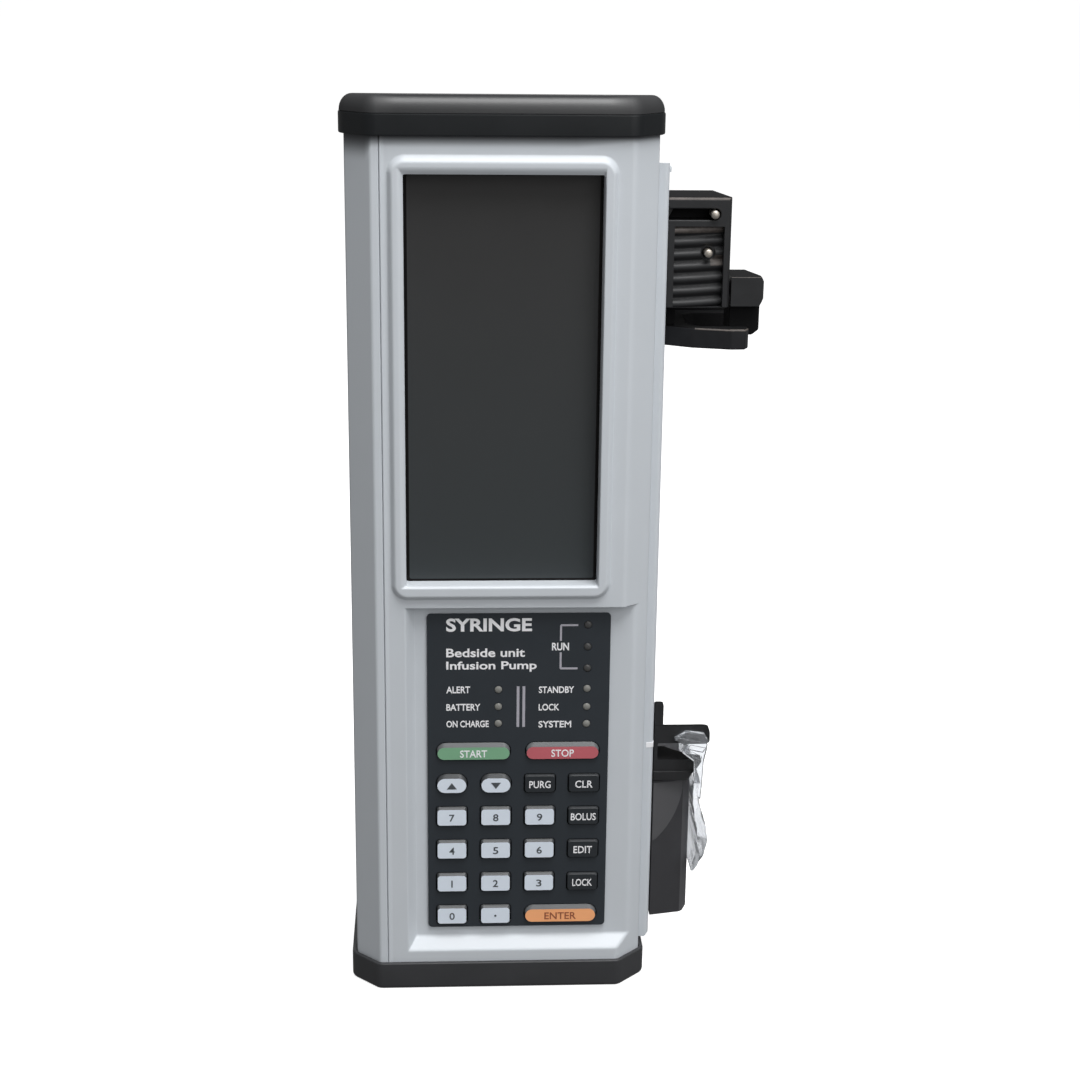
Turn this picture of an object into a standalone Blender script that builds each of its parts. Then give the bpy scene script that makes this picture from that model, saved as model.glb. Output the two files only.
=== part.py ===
"""Syringe-type infusion pump: an upright case with a display, a keypad and a syringe drive on its right side.

Frame: origin at the centre of the boot's underside, +X to the right of the front panel, +Y to the back, +Z up.
Sizes are in millimetres until an object is made. A depth is counted back from the flat front of the case.
"""
import math

import bmesh
import bpy
from mathutils import Matrix, Vector

MM = 0.001

# ---- driving dimensions -------------------------------------------------------------------------------------
HEIGHT = 262.8            # underside of the boot to the top of the cap
CASE_DEPTH = 60.0
FRONT_Y = -CASE_DEPTH / 2
CASE_HALF_WIDTH = 43.3
FLAT_LEFT = -36.0         # the flat front runs from here ...
FLAT_RIGHT = 36.0         # ... to here, with a 45 degree chamfer on each side
SEAM_X = -33.65           # joint line between the two case halves
WALL = 2.5
FRONT_WALL = 5.5
CUP_PROUD = 1.5           # how far the cap and the boot stand out from the case
BOOT_HEIGHT = 8.7
CAP_HEIGHT = 6.6
CUP_FLOOR = 2.8
GAP = 0.3                 # running gap between neighbours

RECESS_DEPTH = 3.6        # floor of the keypad recess
RECESS_LEFT = -25.1
RECESS_LOW = 15.6
RECESS_HIGH = 122.1
RAMP_RISE = 0.95          # height of the recess's sloped sides for each millimetre of depth

SCREEN_LEFT, SCREEN_RIGHT = -27.4, 28.0
SCREEN_LOW, SCREEN_HIGH = 129.2, 247.0
RING_LEFT, RING_RIGHT = -31.2, 31.5
RING_LOW, RING_HIGH = 125.0, 250.8
RING_PROUD = 1.5
RING_RADIUS = 3.5
WINDOW_DEPTH = 4.3

PANEL_LEFT, PANEL_RIGHT = -21.4, 31.9
PANEL_LOW, PANEL_HIGH = 18.7, 119.9
PANEL_FRONT, PANEL_THICK = 2.8, 0.5

KEY_WIDTH, KEY_HEIGHT = 9.2, 4.9
KEY_PITCH = 13.13
KEY_FIRST_X = -14.25
KEY_ROWS = (75.8, 65.5, 54.9, 44.1, 33.2, 22.4)
KEY_FRONT, KEY_BACK = 2.0, 6.4
LED_RADIUS = 1.0
LED_HOLE = 1.3
LED_LEFT_X, LED_RIGHT_X = -0.5, 25.6
LED_LEFT_ROWS = (95.8, 90.4, 85.1)
LED_RIGHT_ROWS = (115.8, 109.0, 102.3, 95.9, 90.2, 84.8)

RAIL_OUT = 46.8           # outer face of the track cover
SLOT_DEPTHS = (24.4, 33.6)
SLOT_LOW, SLOT_HIGH = 105.0, 239.0

SCREW_X, SCREW_DEPTH = 28.0, 29.0
SCREW_RADIUS = 3.0
JOURNAL_RADIUS = 2.0
MODULE = 1.0
SCREW_TEETH, MOTOR_TEETH = 20, 10
MOTOR_X = SCREW_X - MODULE * (SCREW_TEETH + MOTOR_TEETH) / 2
ROD_DEPTH, ROD_RADIUS = 44.0, 2.5

BARREL_X, BARREL_DEPTH, BARREL_RADIUS = 63.5, 31.0, 14.5   # axis and size of the syringe's seat
MECH_LEFT = RAIL_OUT + GAP
LEVER_PIN = (58.9, 222.3)
SLOT_PIN = (60.4, 233.3)
CLAMP_ROD_DEPTH, CLAMP_ROD_Z = 47.6, 46.0


# ---- scene and helpers --------------------------------------------------------------------------------------
def clear_scene():
    for old in list(bpy.data.objects):
        bpy.data.objects.remove(old, do_unlink=True)


def material(name, color, roughness, metallic=0.0, alpha=1.0):
    mat = bpy.data.materials.new(name)
    mat.use_nodes = True
    shader = mat.node_tree.nodes["Principled BSDF"]
    shader.inputs["Base Color"].default_value = (*color, 1.0)
    shader.inputs["Roughness"].default_value = roughness
    shader.inputs["Metallic"].default_value = metallic
    shader.inputs["Alpha"].default_value = alpha
    return mat


def point(x, depth, z):
    """A point in metres from its place across, behind the front plane and up."""
    return Vector((x, depth + FRONT_Y, z)) * MM


def new_object(name, bm, mat):
    bmesh.ops.recalc_face_normals(bm, faces=bm.faces)
    mesh = bpy.data.meshes.new(name)
    bm.to_mesh(mesh)
    bm.free()
    obj = bpy.data.objects.new(name, mesh)
    bpy.context.scene.collection.objects.link(obj)
    if mat is not None:
        mesh.materials.append(mat)
    return obj


def loft(bm, low_ring, high_ring):
    """A closed solid between two rings of points with the same count."""
    low = [bm.verts.new(p) for p in low_ring]
    high = [bm.verts.new(p) for p in high_ring]
    bm.faces.new(low[::-1])
    bm.faces.new(high)
    for i in range(len(low)):
        j = (i + 1) % len(low)
        bm.faces.new((low[i], low[j], high[j], high[i]))


def plan_prism(name, outline, z_low, z_high, mat=None):
    """A prism standing on a plan outline of (x, depth) points."""
    bm = bmesh.new()
    loft(bm, [point(x, d, z_low) for x, d in outline], [point(x, d, z_high) for x, d in outline])
    return new_object(name, bm, mat)


def front_prism(name, outline, near, far, mat=None):
    """A prism with a front outline of (x, z) points, running back from depth near to depth far."""
    bm = bmesh.new()
    loft(bm, [point(x, near, z) for x, z in outline], [point(x, far, z) for x, z in outline])
    return new_object(name, bm, mat)


def box(name, x, depth, z, mat=None):
    """A box from its (low, high) pairs."""
    corners = [(x[0], depth[0]), (x[1], depth[0]), (x[1], depth[1]), (x[0], depth[1])]
    return plan_prism(name, corners, z[0], z[1], mat)


def circle(cx, cy, radius, count=20, turn=0.0):
    angles = [turn + 2 * math.pi * i / count for i in range(count)]
    return [(cx + radius * math.cos(a), cy + radius * math.sin(a)) for a in angles]


def rounded(low, high, radius, steps=3):
    """A rectangle from corner low to corner high with round corners."""
    points = []
    corners = (
        (high[0] - radius, high[1] - radius, 0),
        (low[0] + radius, high[1] - radius, 1),
        (low[0] + radius, low[1] + radius, 2),
        (high[0] - radius, low[1] + radius, 3),
    )
    for cx, cy, quarter in corners:
        for i in range(steps + 1):
            a = math.pi / 2 * (quarter + i / steps)
            points.append((cx + radius * math.cos(a), cy + radius * math.sin(a)))
    return points


def turned(name, x, depth, profile, mat=None, count=20):
    """A stepped round bar on an upright axis; profile is (radius, z) from the bottom up."""
    bm = bmesh.new()
    rings = [[bm.verts.new(point(px, pd, z)) for px, pd in circle(x, depth, r, count)] for r, z in profile]
    bm.faces.new(rings[0][::-1])
    bm.faces.new(rings[-1])
    for low, high in zip(rings, rings[1:]):
        for i in range(count):
            j = (i + 1) % count
            bm.faces.new((low[i], low[j], high[j], high[i]))
    return new_object(name, bm, mat)


def cutter(obj):
    obj.hide_render = True
    obj.display_type = "WIRE"
    return obj


def boolean(target, other, operation):
    mod = target.modifiers.new(operation.lower() + "_" + other.name, "BOOLEAN")
    mod.operation = operation
    mod.solver = "EXACT"
    mod.object = cutter(other)
    return target


def cut(target, other):
    return boolean(target, other, "DIFFERENCE")


def join(target, other):
    return boolean(target, other, "UNION")


def joined_cutter(name, outlines, near, far):
    """One cutter made of several front outlines that don't touch."""
    bm = bmesh.new()
    for outline in outlines:
        loft(bm, [point(x, near, z) for x, z in outline], [point(x, far, z) for x, z in outline])
    return new_object(name, bm, None)


def move_origin(obj, x, depth, z):
    """Puts the object's origin on its joint's axis, and leaves its shape where it is."""
    place = point(x, depth, z)
    obj.data.transform(Matrix.Translation(-place))
    obj.location = place


# ---- materials ----------------------------------------------------------------------------------------------
GREY = (0.50, 0.53, 0.56)
BLACK = (0.022, 0.023, 0.025)


def make_materials():
    return {
        "case": material("case_grey", GREY, 0.42),
        "black": material("black_plastic", BLACK, 0.5),
        "rubber": material("soft_black", (0.03, 0.03, 0.033), 0.65),
        "glass": material("screen_glass", (0.02, 0.024, 0.026), 0.08),
        "panel": material("panel_film", (0.028, 0.032, 0.036), 0.4),
        "light_key": material("light_key", (0.55, 0.6, 0.65), 0.45),
        "dark_key": material("dark_key", (0.03, 0.03, 0.033), 0.45),
        "green": material("green_key", (0.14, 0.32, 0.17), 0.45),
        "red": material("red_key", (0.36, 0.07, 0.09), 0.45),
        "orange": material("orange_key", (0.85, 0.31, 0.13), 0.45),
        "led": material("led_lens", (0.09, 0.09, 0.07), 0.3),
        "board": material("circuit_board", (0.02, 0.12, 0.05), 0.5),
        "steel": material("steel", (0.45, 0.43, 0.4), 0.3, 1.0),
        "brass": material("brass", (0.6, 0.45, 0.2), 0.35, 1.0),
        "aluminium": material("aluminium", (0.6, 0.6, 0.62), 0.4, 1.0),
        "clear": material("clear_plastic", (0.85, 0.87, 0.88), 0.1, 0.0, 0.35),
        "battery": material("battery_wrap", (0.05, 0.1, 0.3), 0.5),
    }


# ---- case ---------------------------------------------------------------------------------------------------
def case_outline(out):
    """The case's plan outline, moved outwards by out."""
    w = CASE_HALF_WIDTH + out
    slope = out * (math.sqrt(2) - 1)
    left_drop = CASE_HALF_WIDTH + FLAT_LEFT
    right_drop = CASE_HALF_WIDTH - FLAT_RIGHT
    return [
        (FLAT_LEFT - slope, -out),
        (FLAT_RIGHT + slope, -out),
        (w, right_drop - slope),
        (w, CASE_DEPTH + out),
        (-w, CASE_DEPTH + out),
        (-w, left_drop - slope),
    ]


def make_front_housing(mats):
    z = (CUP_FLOOR + GAP, HEIGHT - CUP_FLOOR - GAP)
    chamfer = CASE_HALF_WIDTH - FLAT_RIGHT
    side = CASE_HALF_WIDTH
    outline = [
        (SEAM_X, 0),
        (FLAT_RIGHT, 0),
        (side, chamfer),
        (side, 11.6),
        (side - WALL, 11.6),
        (side - WALL, chamfer + 2.6),
        (FLAT_RIGHT - 0.8, FRONT_WALL),
        (SEAM_X, FRONT_WALL),
    ]
    housing = plan_prism("front_housing", outline, *z, mats["case"])
    join(housing, make_ring())
    cut(housing, cutter_recess())
    opening = rounded((SCREEN_LEFT, SCREEN_LOW), (SCREEN_RIGHT, SCREEN_HIGH), 1.0, 2)
    cut(housing, front_prism("cut_screen", opening, -5, 10))
    seat = ((SCREEN_LEFT - 1.8, SCREEN_RIGHT + 1.8), (WINDOW_DEPTH - GAP, 10), (SCREEN_LOW - 1.8, SCREEN_HIGH + 1.8))
    cut(housing, box("cut_window_seat", *seat))
    cut(housing, box("cut_keys", (-20.0, 30.6), (2, 10), (19.6, 78.6)))
    cut(housing, box("cut_leds_left", (-2.0, 1.0), (2, 10), (83.4, 97.4)))
    cut(housing, box("cut_leds_right", (24.1, 27.1), (2, 10), (83.1, 117.5)))
    return housing


def make_ring():
    """The raised frame around the screen, bevelled from the case out to its flat top."""
    bm = bmesh.new()
    base = rounded((RING_LEFT, RING_LOW), (RING_RIGHT, RING_HIGH), RING_RADIUS)
    top = rounded((RING_LEFT + 0.9, RING_LOW + 0.9), (RING_RIGHT - 0.9, RING_HIGH - 0.9), RING_RADIUS - 0.9)
    loft(bm, [point(x, 0.6, z) for x, z in base], [point(x, -RING_PROUD, z) for x, z in top])
    return new_object("join_ring", bm, None)


def cutter_recess():
    """The keypad recess: sloped at its left and lower sides, square at the top, open through the right chamfer."""
    out = 6.0
    bm = bmesh.new()
    rings = []
    for depth in (RECESS_DEPTH, -out):
        slope = (RECESS_DEPTH - depth) * RAMP_RISE
        left, low = RECESS_LEFT - slope * 0.7, RECESS_LOW - slope
        rings.append([point(x, depth, z) for x, z in ((left, low), (60, low), (60, RECESS_HIGH), (left, RECESS_HIGH))])
    loft(bm, *rings)
    return new_object("cut_recess", bm, None)


def make_rear_housing(mats):
    z = (CUP_FLOOR + GAP, HEIGHT - CUP_FLOOR - GAP)
    side, back = CASE_HALF_WIDTH, CASE_DEPTH
    drop = side + FLAT_LEFT
    lip = SEAM_X - GAP
    inner = side - WALL
    outline = [
        (lip, 0),
        (FLAT_LEFT, 0),
        (-side, drop),
        (-side, back),
        (side, back),
        (side, 11.9),
        (inner, 11.9),
        (inner, back - WALL),
        (-inner, back - WALL),
        (-inner, drop + 1.0),
        (lip, 3.0),
    ]
    housing = plan_prism("rear_housing", outline[::-1], *z, mats["case"])
    cut(housing, box("cut_side_slot", (38, 50), SLOT_DEPTHS, (SLOT_LOW, SLOT_HIGH)))
    cut(housing, cutter_clamp_rod("cut_rod_case", 38, 50))
    cut(housing, box("cut_inlet", (26.7, 38.3), (50, 70), (21.7, 36.3)))
    screws = [circle(x, z_screw, 1.9, 12) for x, z_screw in BATTERY_SCREWS]
    cut(housing, joined_cutter("cut_cover_screws", screws, 50, 70))
    return housing


def cutter_clamp_rod(name, x_low, x_high):
    return side_bar(name, x_low, x_high, CLAMP_ROD_DEPTH, CLAMP_ROD_Z, 2.4)


def side_bar(name, x_low, x_high, depth, z, radius, mat=None, count=16):
    """A round bar lying along X."""
    bm = bmesh.new()
    ring = circle(depth, z, radius, count)
    loft(bm, [point(x_low, d, h) for d, h in ring], [point(x_high, d, h) for d, h in ring])
    return new_object(name, bm, mat)


def make_cups(mats):
    """The cap and the boot: shallow cups that the case's ends sit in."""
    for name, z, pocket in (
        ("bottom_boot", (0, BOOT_HEIGHT), (CUP_FLOOR, BOOT_HEIGHT + 2)),
        ("top_cap", (HEIGHT - CAP_HEIGHT, HEIGHT), (HEIGHT - CAP_HEIGHT - 2, HEIGHT - CUP_FLOOR)),
    ):
        cup = plan_prism(name, case_outline(CUP_PROUD), *z, mats["rubber"])
        cut(cup, plan_prism("cut_" + name, case_outline(GAP), *pocket))


BATTERY_SCREWS = ((-18.0, 47.0), (18.0, 47.0))


def make_back(mats):
    back = CASE_DEPTH + GAP
    plate = rounded((-25, 96), (25, 196), 4)
    front_prism("rear_mount_plate", plate, back, back + 2.6, mats["aluminium"])
    cover = front_prism("battery_cover", rounded((-23, 24), (23, 70), 3), back, back + 1.6, mats["case"])
    holes = [circle(x, z, 1.9, 12) for x, z in BATTERY_SCREWS]
    cut(cover, joined_cutter("cut_cover_holes", holes, 55, 70))
    for side, (x, z) in zip(("left", "right"), BATTERY_SCREWS):
        name = "cover_screw_" + side
        screw = front_prism(name, circle(x, z, 1.5, 12), 54, back + 2.5, mats["steel"])
        join(screw, front_prism("join_head_" + side, circle(x, z, 3.0, 16), back + 1.9, back + 3.1))
    box("power_inlet", (27, 38), (50.3, CASE_DEPTH + 0.8), (22, 36), mats["black"])


# ---- display and keypad -------------------------------------------------------------------------------------
def make_display(mats):
    edge = 1.5
    x = (SCREEN_LEFT - edge, SCREEN_RIGHT + edge)
    z = (SCREEN_LOW - edge, SCREEN_HIGH + edge)
    box("lcd_window", x, (WINDOW_DEPTH, WINDOW_DEPTH + 1.2), z, mats["glass"])
    box("lcd_module", x, (6.0, 11.0), z, mats["black"])
    box("main_board", (-38, 4), (14.0, 15.6), (126, 246), mats["board"])
    turned("sounder", -22, 40, [(9, 228), (9, 236), (7, 238)], mats["black"], 16)


def key_outline(x, z, width, height, radius=1.0, steps=1):
    return rounded((x - width / 2, z - height / 2), (x + width / 2, z + height / 2), radius, steps)


def key_table():
    """Each key as (name, centre x, centre z, width, height, material)."""
    column = [KEY_FIRST_X + KEY_PITCH * i for i in range(4)]
    top, bottom = KEY_ROWS[0], KEY_ROWS[5]
    wide_x = column[2] + KEY_PITCH / 2 + 0.05
    keys = [
        ("key_start", column[0] + KEY_PITCH / 2 - 0.1, top, 21.9, 4.2, "green"),
        ("key_stop", wide_x, top, 21.9, 4.2, "red"),
        ("key_enter", wide_x, bottom, 21.9, 4.5, "orange"),
    ]
    grid = (
        ("up", "down", "purge", "clear"),
        ("7", "8", "9", "bolus"),
        ("4", "5", "6", "edit"),
        ("1", "2", "3", "lock"),
        ("0", "point"),
    )
    for names, z in zip(grid, KEY_ROWS[1:]):
        for name, x in zip(names, column):
            dark = x == column[3] or name == "purge"
            keys.append(("key_" + name, x, z, KEY_WIDTH, KEY_HEIGHT, "dark_key" if dark else "light_key"))
    return keys


def make_keypad(mats):
    keys = key_table()
    holes = [key_outline(x, z, w + 2 * GAP, h + 2 * GAP, 1.2) for _, x, z, w, h, _ in keys]
    leds = [(LED_LEFT_X, z) for z in LED_LEFT_ROWS] + [(LED_RIGHT_X, z) for z in LED_RIGHT_ROWS]
    holes += [circle(x, z, LED_HOLE, 10) for x, z in leds]
    outline = rounded((PANEL_LEFT, PANEL_LOW), (PANEL_RIGHT, PANEL_HIGH), 1.6)
    panel = front_prism("keypad_panel", outline, PANEL_FRONT, PANEL_FRONT + PANEL_THICK, mats["panel"])
    cut(panel, joined_cutter("cut_panel_holes", holes, PANEL_FRONT - 2, PANEL_FRONT + 2))
    for name, x, z, w, h, slot in keys:
        key = make_key(name, x, z, w, h, mats[slot])
        move_origin(key, x, KEY_FRONT, z)
    box("keypad_mat", (-20, 30.6), (7.6, 9.2), (19.6, 78.6), mats["rubber"])
    box("key_board", (-31, 34), (9.6, 11.2), (17, 119), mats["board"])
    make_led_bar("led_bar_left", LED_LEFT_X, LED_LEFT_ROWS, mats)
    make_led_bar("led_bar_right", LED_RIGHT_X, LED_RIGHT_ROWS, mats)


def make_key(name, x, z, width, height, mat):
    """A key cap with a small bevel around its face."""
    bevel = 0.5
    bm = bmesh.new()
    stages = ((KEY_BACK, 0.0, 1.0), (KEY_FRONT + bevel, 0.0, 1.0), (KEY_FRONT, bevel, 0.7))
    rings = []
    for depth, inset, radius in stages:
        ring = key_outline(x, z, width - 2 * inset, height - 2 * inset, radius)
        rings.append([bm.verts.new(point(px, depth, pz)) for px, pz in ring])
    bm.faces.new(rings[0])
    bm.faces.new(rings[-1][::-1])
    for low, high in zip(rings, rings[1:]):
        for i in range(len(low)):
            j = (i + 1) % len(low)
            bm.faces.new((low[i], low[j], high[j], high[i]))
    return new_object(name, bm, mat)


def make_led_bar(name, x, rows, mats):
    """A bar of light guides, one pip for each lamp hole."""
    bar = box(name, (x - 1.2, x + 1.2), (6.2, 9.2), (rows[-1] - 1.2, rows[0] + 1.2), mats["led"])
    pips = joined_cutter("join_" + name, [circle(x, z, LED_RADIUS, 10) for z in rows], PANEL_FRONT - 0.1, 6.8)
    join(bar, pips)


# ---- drive inside the case ----------------------------------------------------------------------------------
def gear_outline(cx, cy, teeth, first_tooth):
    """A gear's outline with straight-sided teeth; a tooth is centred on the angle first_tooth."""
    pitch_radius = MODULE * teeth / 2
    step = 2 * math.pi / teeth
    tip, root = pitch_radius + 0.6 * MODULE, pitch_radius - 0.9 * MODULE
    points = []
    for i in range(teeth):
        a = first_tooth + i * step
        for offset, radius in ((-0.28, root), (-0.11, tip), (0.11, tip), (0.28, root)):
            points.append((cx + radius * math.cos(a + offset * step), cy + radius * math.sin(a + offset * step)))
    return points


def make_drive(mats):
    low, high = (16.4, 19.2), (243.0, 246.0)
    for name, z, x_left in (("lower_bearing_plate", low, -1.0), ("upper_bearing_plate", high, 8.0)):
        plate = box(name, (x_left, 39.5), (18, 51), z, mats["aluminium"])
        bores = [circle(SCREW_X, SCREW_DEPTH, JOURNAL_RADIUS + GAP, 16), circle(SCREW_X, ROD_DEPTH, ROD_RADIUS + GAP, 16)]
        if name.startswith("lower"):
            bores.append(circle(MOTOR_X, SCREW_DEPTH, 1.8, 12))
        bm = bmesh.new()
        for ring in bores:
            loft(bm, [point(x, d, z[0] - 2) for x, d in ring], [point(x, d, z[1] + 2) for x, d in ring])
        cut(plate, new_object("cut_" + name, bm, None))
    profile = [(JOURNAL_RADIUS, 11), (JOURNAL_RADIUS, 19.4), (SCREW_RADIUS, 19.5), (SCREW_RADIUS, 242.6),
               (JOURNAL_RADIUS, 242.7), (JOURNAL_RADIUS, 248)]
    screw = turned("lead_screw", SCREW_X, SCREW_DEPTH, profile, mats["steel"])
    move_origin(screw, SCREW_X, SCREW_DEPTH, 11)
    big = plan_prism("screw_gear", gear_outline(SCREW_X, SCREW_DEPTH, SCREW_TEETH, math.pi), 12, 16, mats["brass"])
    cut(big, plan_prism("cut_gear_bore", circle(SCREW_X, SCREW_DEPTH, JOURNAL_RADIUS + GAP, 20), 10, 18))
    small_outline = gear_outline(MOTOR_X, SCREW_DEPTH, MOTOR_TEETH, math.pi / MOTOR_TEETH)
    small = plan_prism("motor_gear", small_outline, 12, 16, mats["steel"])
    join(small, plan_prism("join_motor_shaft", circle(MOTOR_X, SCREW_DEPTH, 1.5, 12), 15, 19.2))
    turned("drive_motor", MOTOR_X, SCREW_DEPTH, [(8.5, 19.5), (8.5, 52), (5, 52.2), (5, 56)], mats["steel"])
    turned("guide_rod", SCREW_X, ROD_DEPTH, [(ROD_RADIUS, 14), (ROD_RADIUS, 248)], mats["steel"], 16)
    box("battery_pack", (-38, -4), (20, 54), (20, 122), mats["battery"])


def make_carriage(mats):
    z = (212.0, 232.0)
    outline = [(20, 36), (36.6, 36), (36.6, 25), (RAIL_OUT, 25), (RAIL_OUT, 33), (39.8, 33), (39.8, 51), (20, 51)]
    carriage = plan_prism("carriage", outline, *z, mats["aluminium"])
    cut(carriage, plan_prism("cut_rod_bore", circle(SCREW_X, ROD_DEPTH, ROD_RADIUS + GAP, 16), 200, 240))
    make_half_nut(mats)


def make_half_nut(mats):
    """The half nut: a jaw against the screw's right side, on an arm that turns on the guide rod."""
    face = SCREW_X + 0.4
    nut = box("half_nut", (face, 33), (24, 34.5), (206, 230), mats["brass"])
    arm = [(face, 33), (33, 33), (33, 41), (31.5, 48.5), (24.5, 48.5), (23, 44), (face, 36)]
    join(nut, plan_prism("join_nut_arm", arm, 206, 211.4))
    cut(nut, plan_prism("cut_nut", circle(SCREW_X, SCREW_DEPTH, SCREW_RADIUS + 0.4, 20), 200, 240))
    cut(nut, plan_prism("cut_nut_pivot", circle(SCREW_X, ROD_DEPTH, ROD_RADIUS + GAP, 16), 200, 220))
    move_origin(nut, SCREW_X, ROD_DEPTH, 206)


# ---- syringe drive on the right side ------------------------------------------------------------------------
def make_track(mats):
    outline = [(CASE_HALF_WIDTH + GAP, 11.5), (RAIL_OUT - 0.8, 11.5), (RAIL_OUT, 12.5), (RAIL_OUT, 48.5),
               (RAIL_OUT - 0.8, 49.5), (CASE_HALF_WIDTH + GAP, 49.5)]
    track = plan_prism("track_cover", outline, 10.0, 248.0, mats["case"])
    cut(track, box("cut_track_slot", (40, 50), SLOT_DEPTHS, (SLOT_LOW, SLOT_HIGH)))
    cut(track, cutter_clamp_rod("cut_rod_track", 40, 50))


def make_driver_head(mats):
    outline = [(MECH_LEFT, 16), (64.6, 16), (65.4, 17.4), (62.0, 33), (MECH_LEFT, 33)]
    head = plan_prism("driver_head", outline, 206.7, 238.1, mats["black"])
    cut(head, box("cut_pin_slot", (45, 62.0), (14, 21), (231.7, 234.9)))
    cut(head, box("cut_lever_pocket", (54, 70), (21.6, 27.4), (208.2, 228.3)))
    bore = [circle(*LEVER_PIN, 1.5, 16)]
    cut(head, joined_cutter("cut_lever_bore", bore, 14, 30.5))
    front_prism("catch_pin", circle(*LEVER_PIN, 1.2, 16), 15.4, 30.0, mats["steel"])
    slot_pin = front_prism("release_pin", circle(*SLOT_PIN, 1.2, 16), 14.6, 20.6, mats["steel"])
    move_origin(slot_pin, SLOT_PIN[0], 16, SLOT_PIN[1])


def make_plunger_catch(mats):
    """The release catch: a thumb knob and a hooked leg outside the head, on a link that turns on its pin."""
    knob = [(65.8, 17), (74.9, 17), (75.4, 17.8), (71.7, 31), (65.8, 31)]
    leg = [(66.0, 21), (74.8, 21), (74.8, 23.5), (70.8, 31), (66.0, 31)]
    px, pz = LEVER_PIN
    link = [(px - 2.6, 209.5), (66.0, 209.5), (66.0, 213.5), (px + 2.6, 213.5), (px + 2.6, pz + 3.4), (px - 2.6, pz + 3.4)]
    catch = plan_prism("plunger_catch", knob, 207.0, 215.4, mats["black"])
    join(catch, plan_prism("join_leg", leg, 198.2, 207.6))
    join(catch, front_prism("join_link", link, 22.0, 27.0))
    cut(catch, front_prism("cut_link_bore", circle(px, pz, 1.5, 16), 20, 30))
    move_origin(catch, px, 24.5, pz)


def make_pusher_plate(mats):
    outline = [
        (MECH_LEFT, 21), (55, 16.5), (66, 13.5), (70, 13.9), (71.2, 16), (71.2, 19.5), (58, 19.5), (54.5, 22.5),
        (54.5, 38.5), (58, 42), (69.5, 42), (69.5, 47.5), (MECH_LEFT, 47.5),
    ]
    plate = plan_prism("pusher_plate", outline, 195.0, 200.9, mats["black"])
    join(plate, box("join_web", (MECH_LEFT, 50.5), (22, 33), (200, 206.4)))
    join(plate, box("join_back_lip", (MECH_LEFT, 69.5), (44.8, 47.5), (200, 206.4)))


def make_cradle(mats):
    seat = circle(BARREL_X, BARREL_DEPTH, BARREL_RADIUS, 40)
    outline = [(MECH_LEFT, 12.6), (56.6, 14.6), (58.8, 16.4), (58.8, 51), (MECH_LEFT, 51)]
    cradle = plan_prism("barrel_cradle", outline, 16.6, 61.7, mats["black"])
    cut(cradle, plan_prism("cut_seat", seat, 10, 65))
    cut(cradle, cutter_clamp_rod("cut_rod_cradle", 45, 62))
    jaws = [(MECH_LEFT, 62), (57.6, 62), (61.6, 68.4), (61.6, 69), (48.2, 69), (48.2, 74.2), (64, 74.2), (64, 80),
            (MECH_LEFT, 80)]
    clip = front_prism("flange_clip", jaws, 12.6, 23.0, mats["black"])
    cut(clip, plan_prism("cut_clip_seat", seat, 60, 82))
    join(clip, box("join_fin", (MECH_LEFT, 49.4), (12.6, 19), (79, 88.3)))


def make_clamp(mats):
    """The clear barrel clamp: a bowed gate beside the seat with an ear in front of the flange jaws."""
    gate = [(59.1, 32.9), (60.4, 32.9), (61.7, 34.8), (63.5, 38.9), (64.2, 43.0), (63.9, 46.5), (62.2, 52.0),
            (61.6, 57.0), (61.6, 61.4), (59.1, 61.4)]
    ear = [(59.3, 57.0), (61.6, 57.0), (61.8, 63.0), (62.2, 69.0), (63.4, 73.0), (63.9, 76.4), (62.8, 78.0),
           (56.7, 78.6), (53.1, 76.4), (57.0, 74.2), (55.4, 72.2), (59.4, 69.0)]
    clamp = front_prism("barrel_clamp", gate, 10.0, 51.0, mats["clear"])
    join(clamp, front_prism("join_ear", ear, 9.8, 12.3))
    cut(clamp, cutter_clamp_rod("cut_rod_clamp", 55, 61.2))
    rod = side_bar("clamp_rod", 38.0, 60.8, CLAMP_ROD_DEPTH, CLAMP_ROD_Z, 2.0, mats["steel"])
    move_origin(rod, 38.0, CLAMP_ROD_DEPTH, CLAMP_ROD_Z)


def main():
    clear_scene()
    mats = make_materials()
    make_front_housing(mats)
    make_rear_housing(mats)
    make_cups(mats)
    make_back(mats)
    make_display(mats)
    make_keypad(mats)
    make_drive(mats)
    make_carriage(mats)
    make_track(mats)
    make_driver_head(mats)
    make_plunger_catch(mats)
    make_pusher_plate(mats)
    make_cradle(mats)
    make_clamp(mats)


main()
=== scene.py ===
"""Looks for the syringe-type infusion pump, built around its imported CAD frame.

Lengths are in millimetres until a mesh is made. A depth is counted back from the flat front of the case,
and places come from the boxes of the CAD nodes.
"""
import math

import bmesh
import bpy
from mathutils import Matrix, Vector


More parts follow.
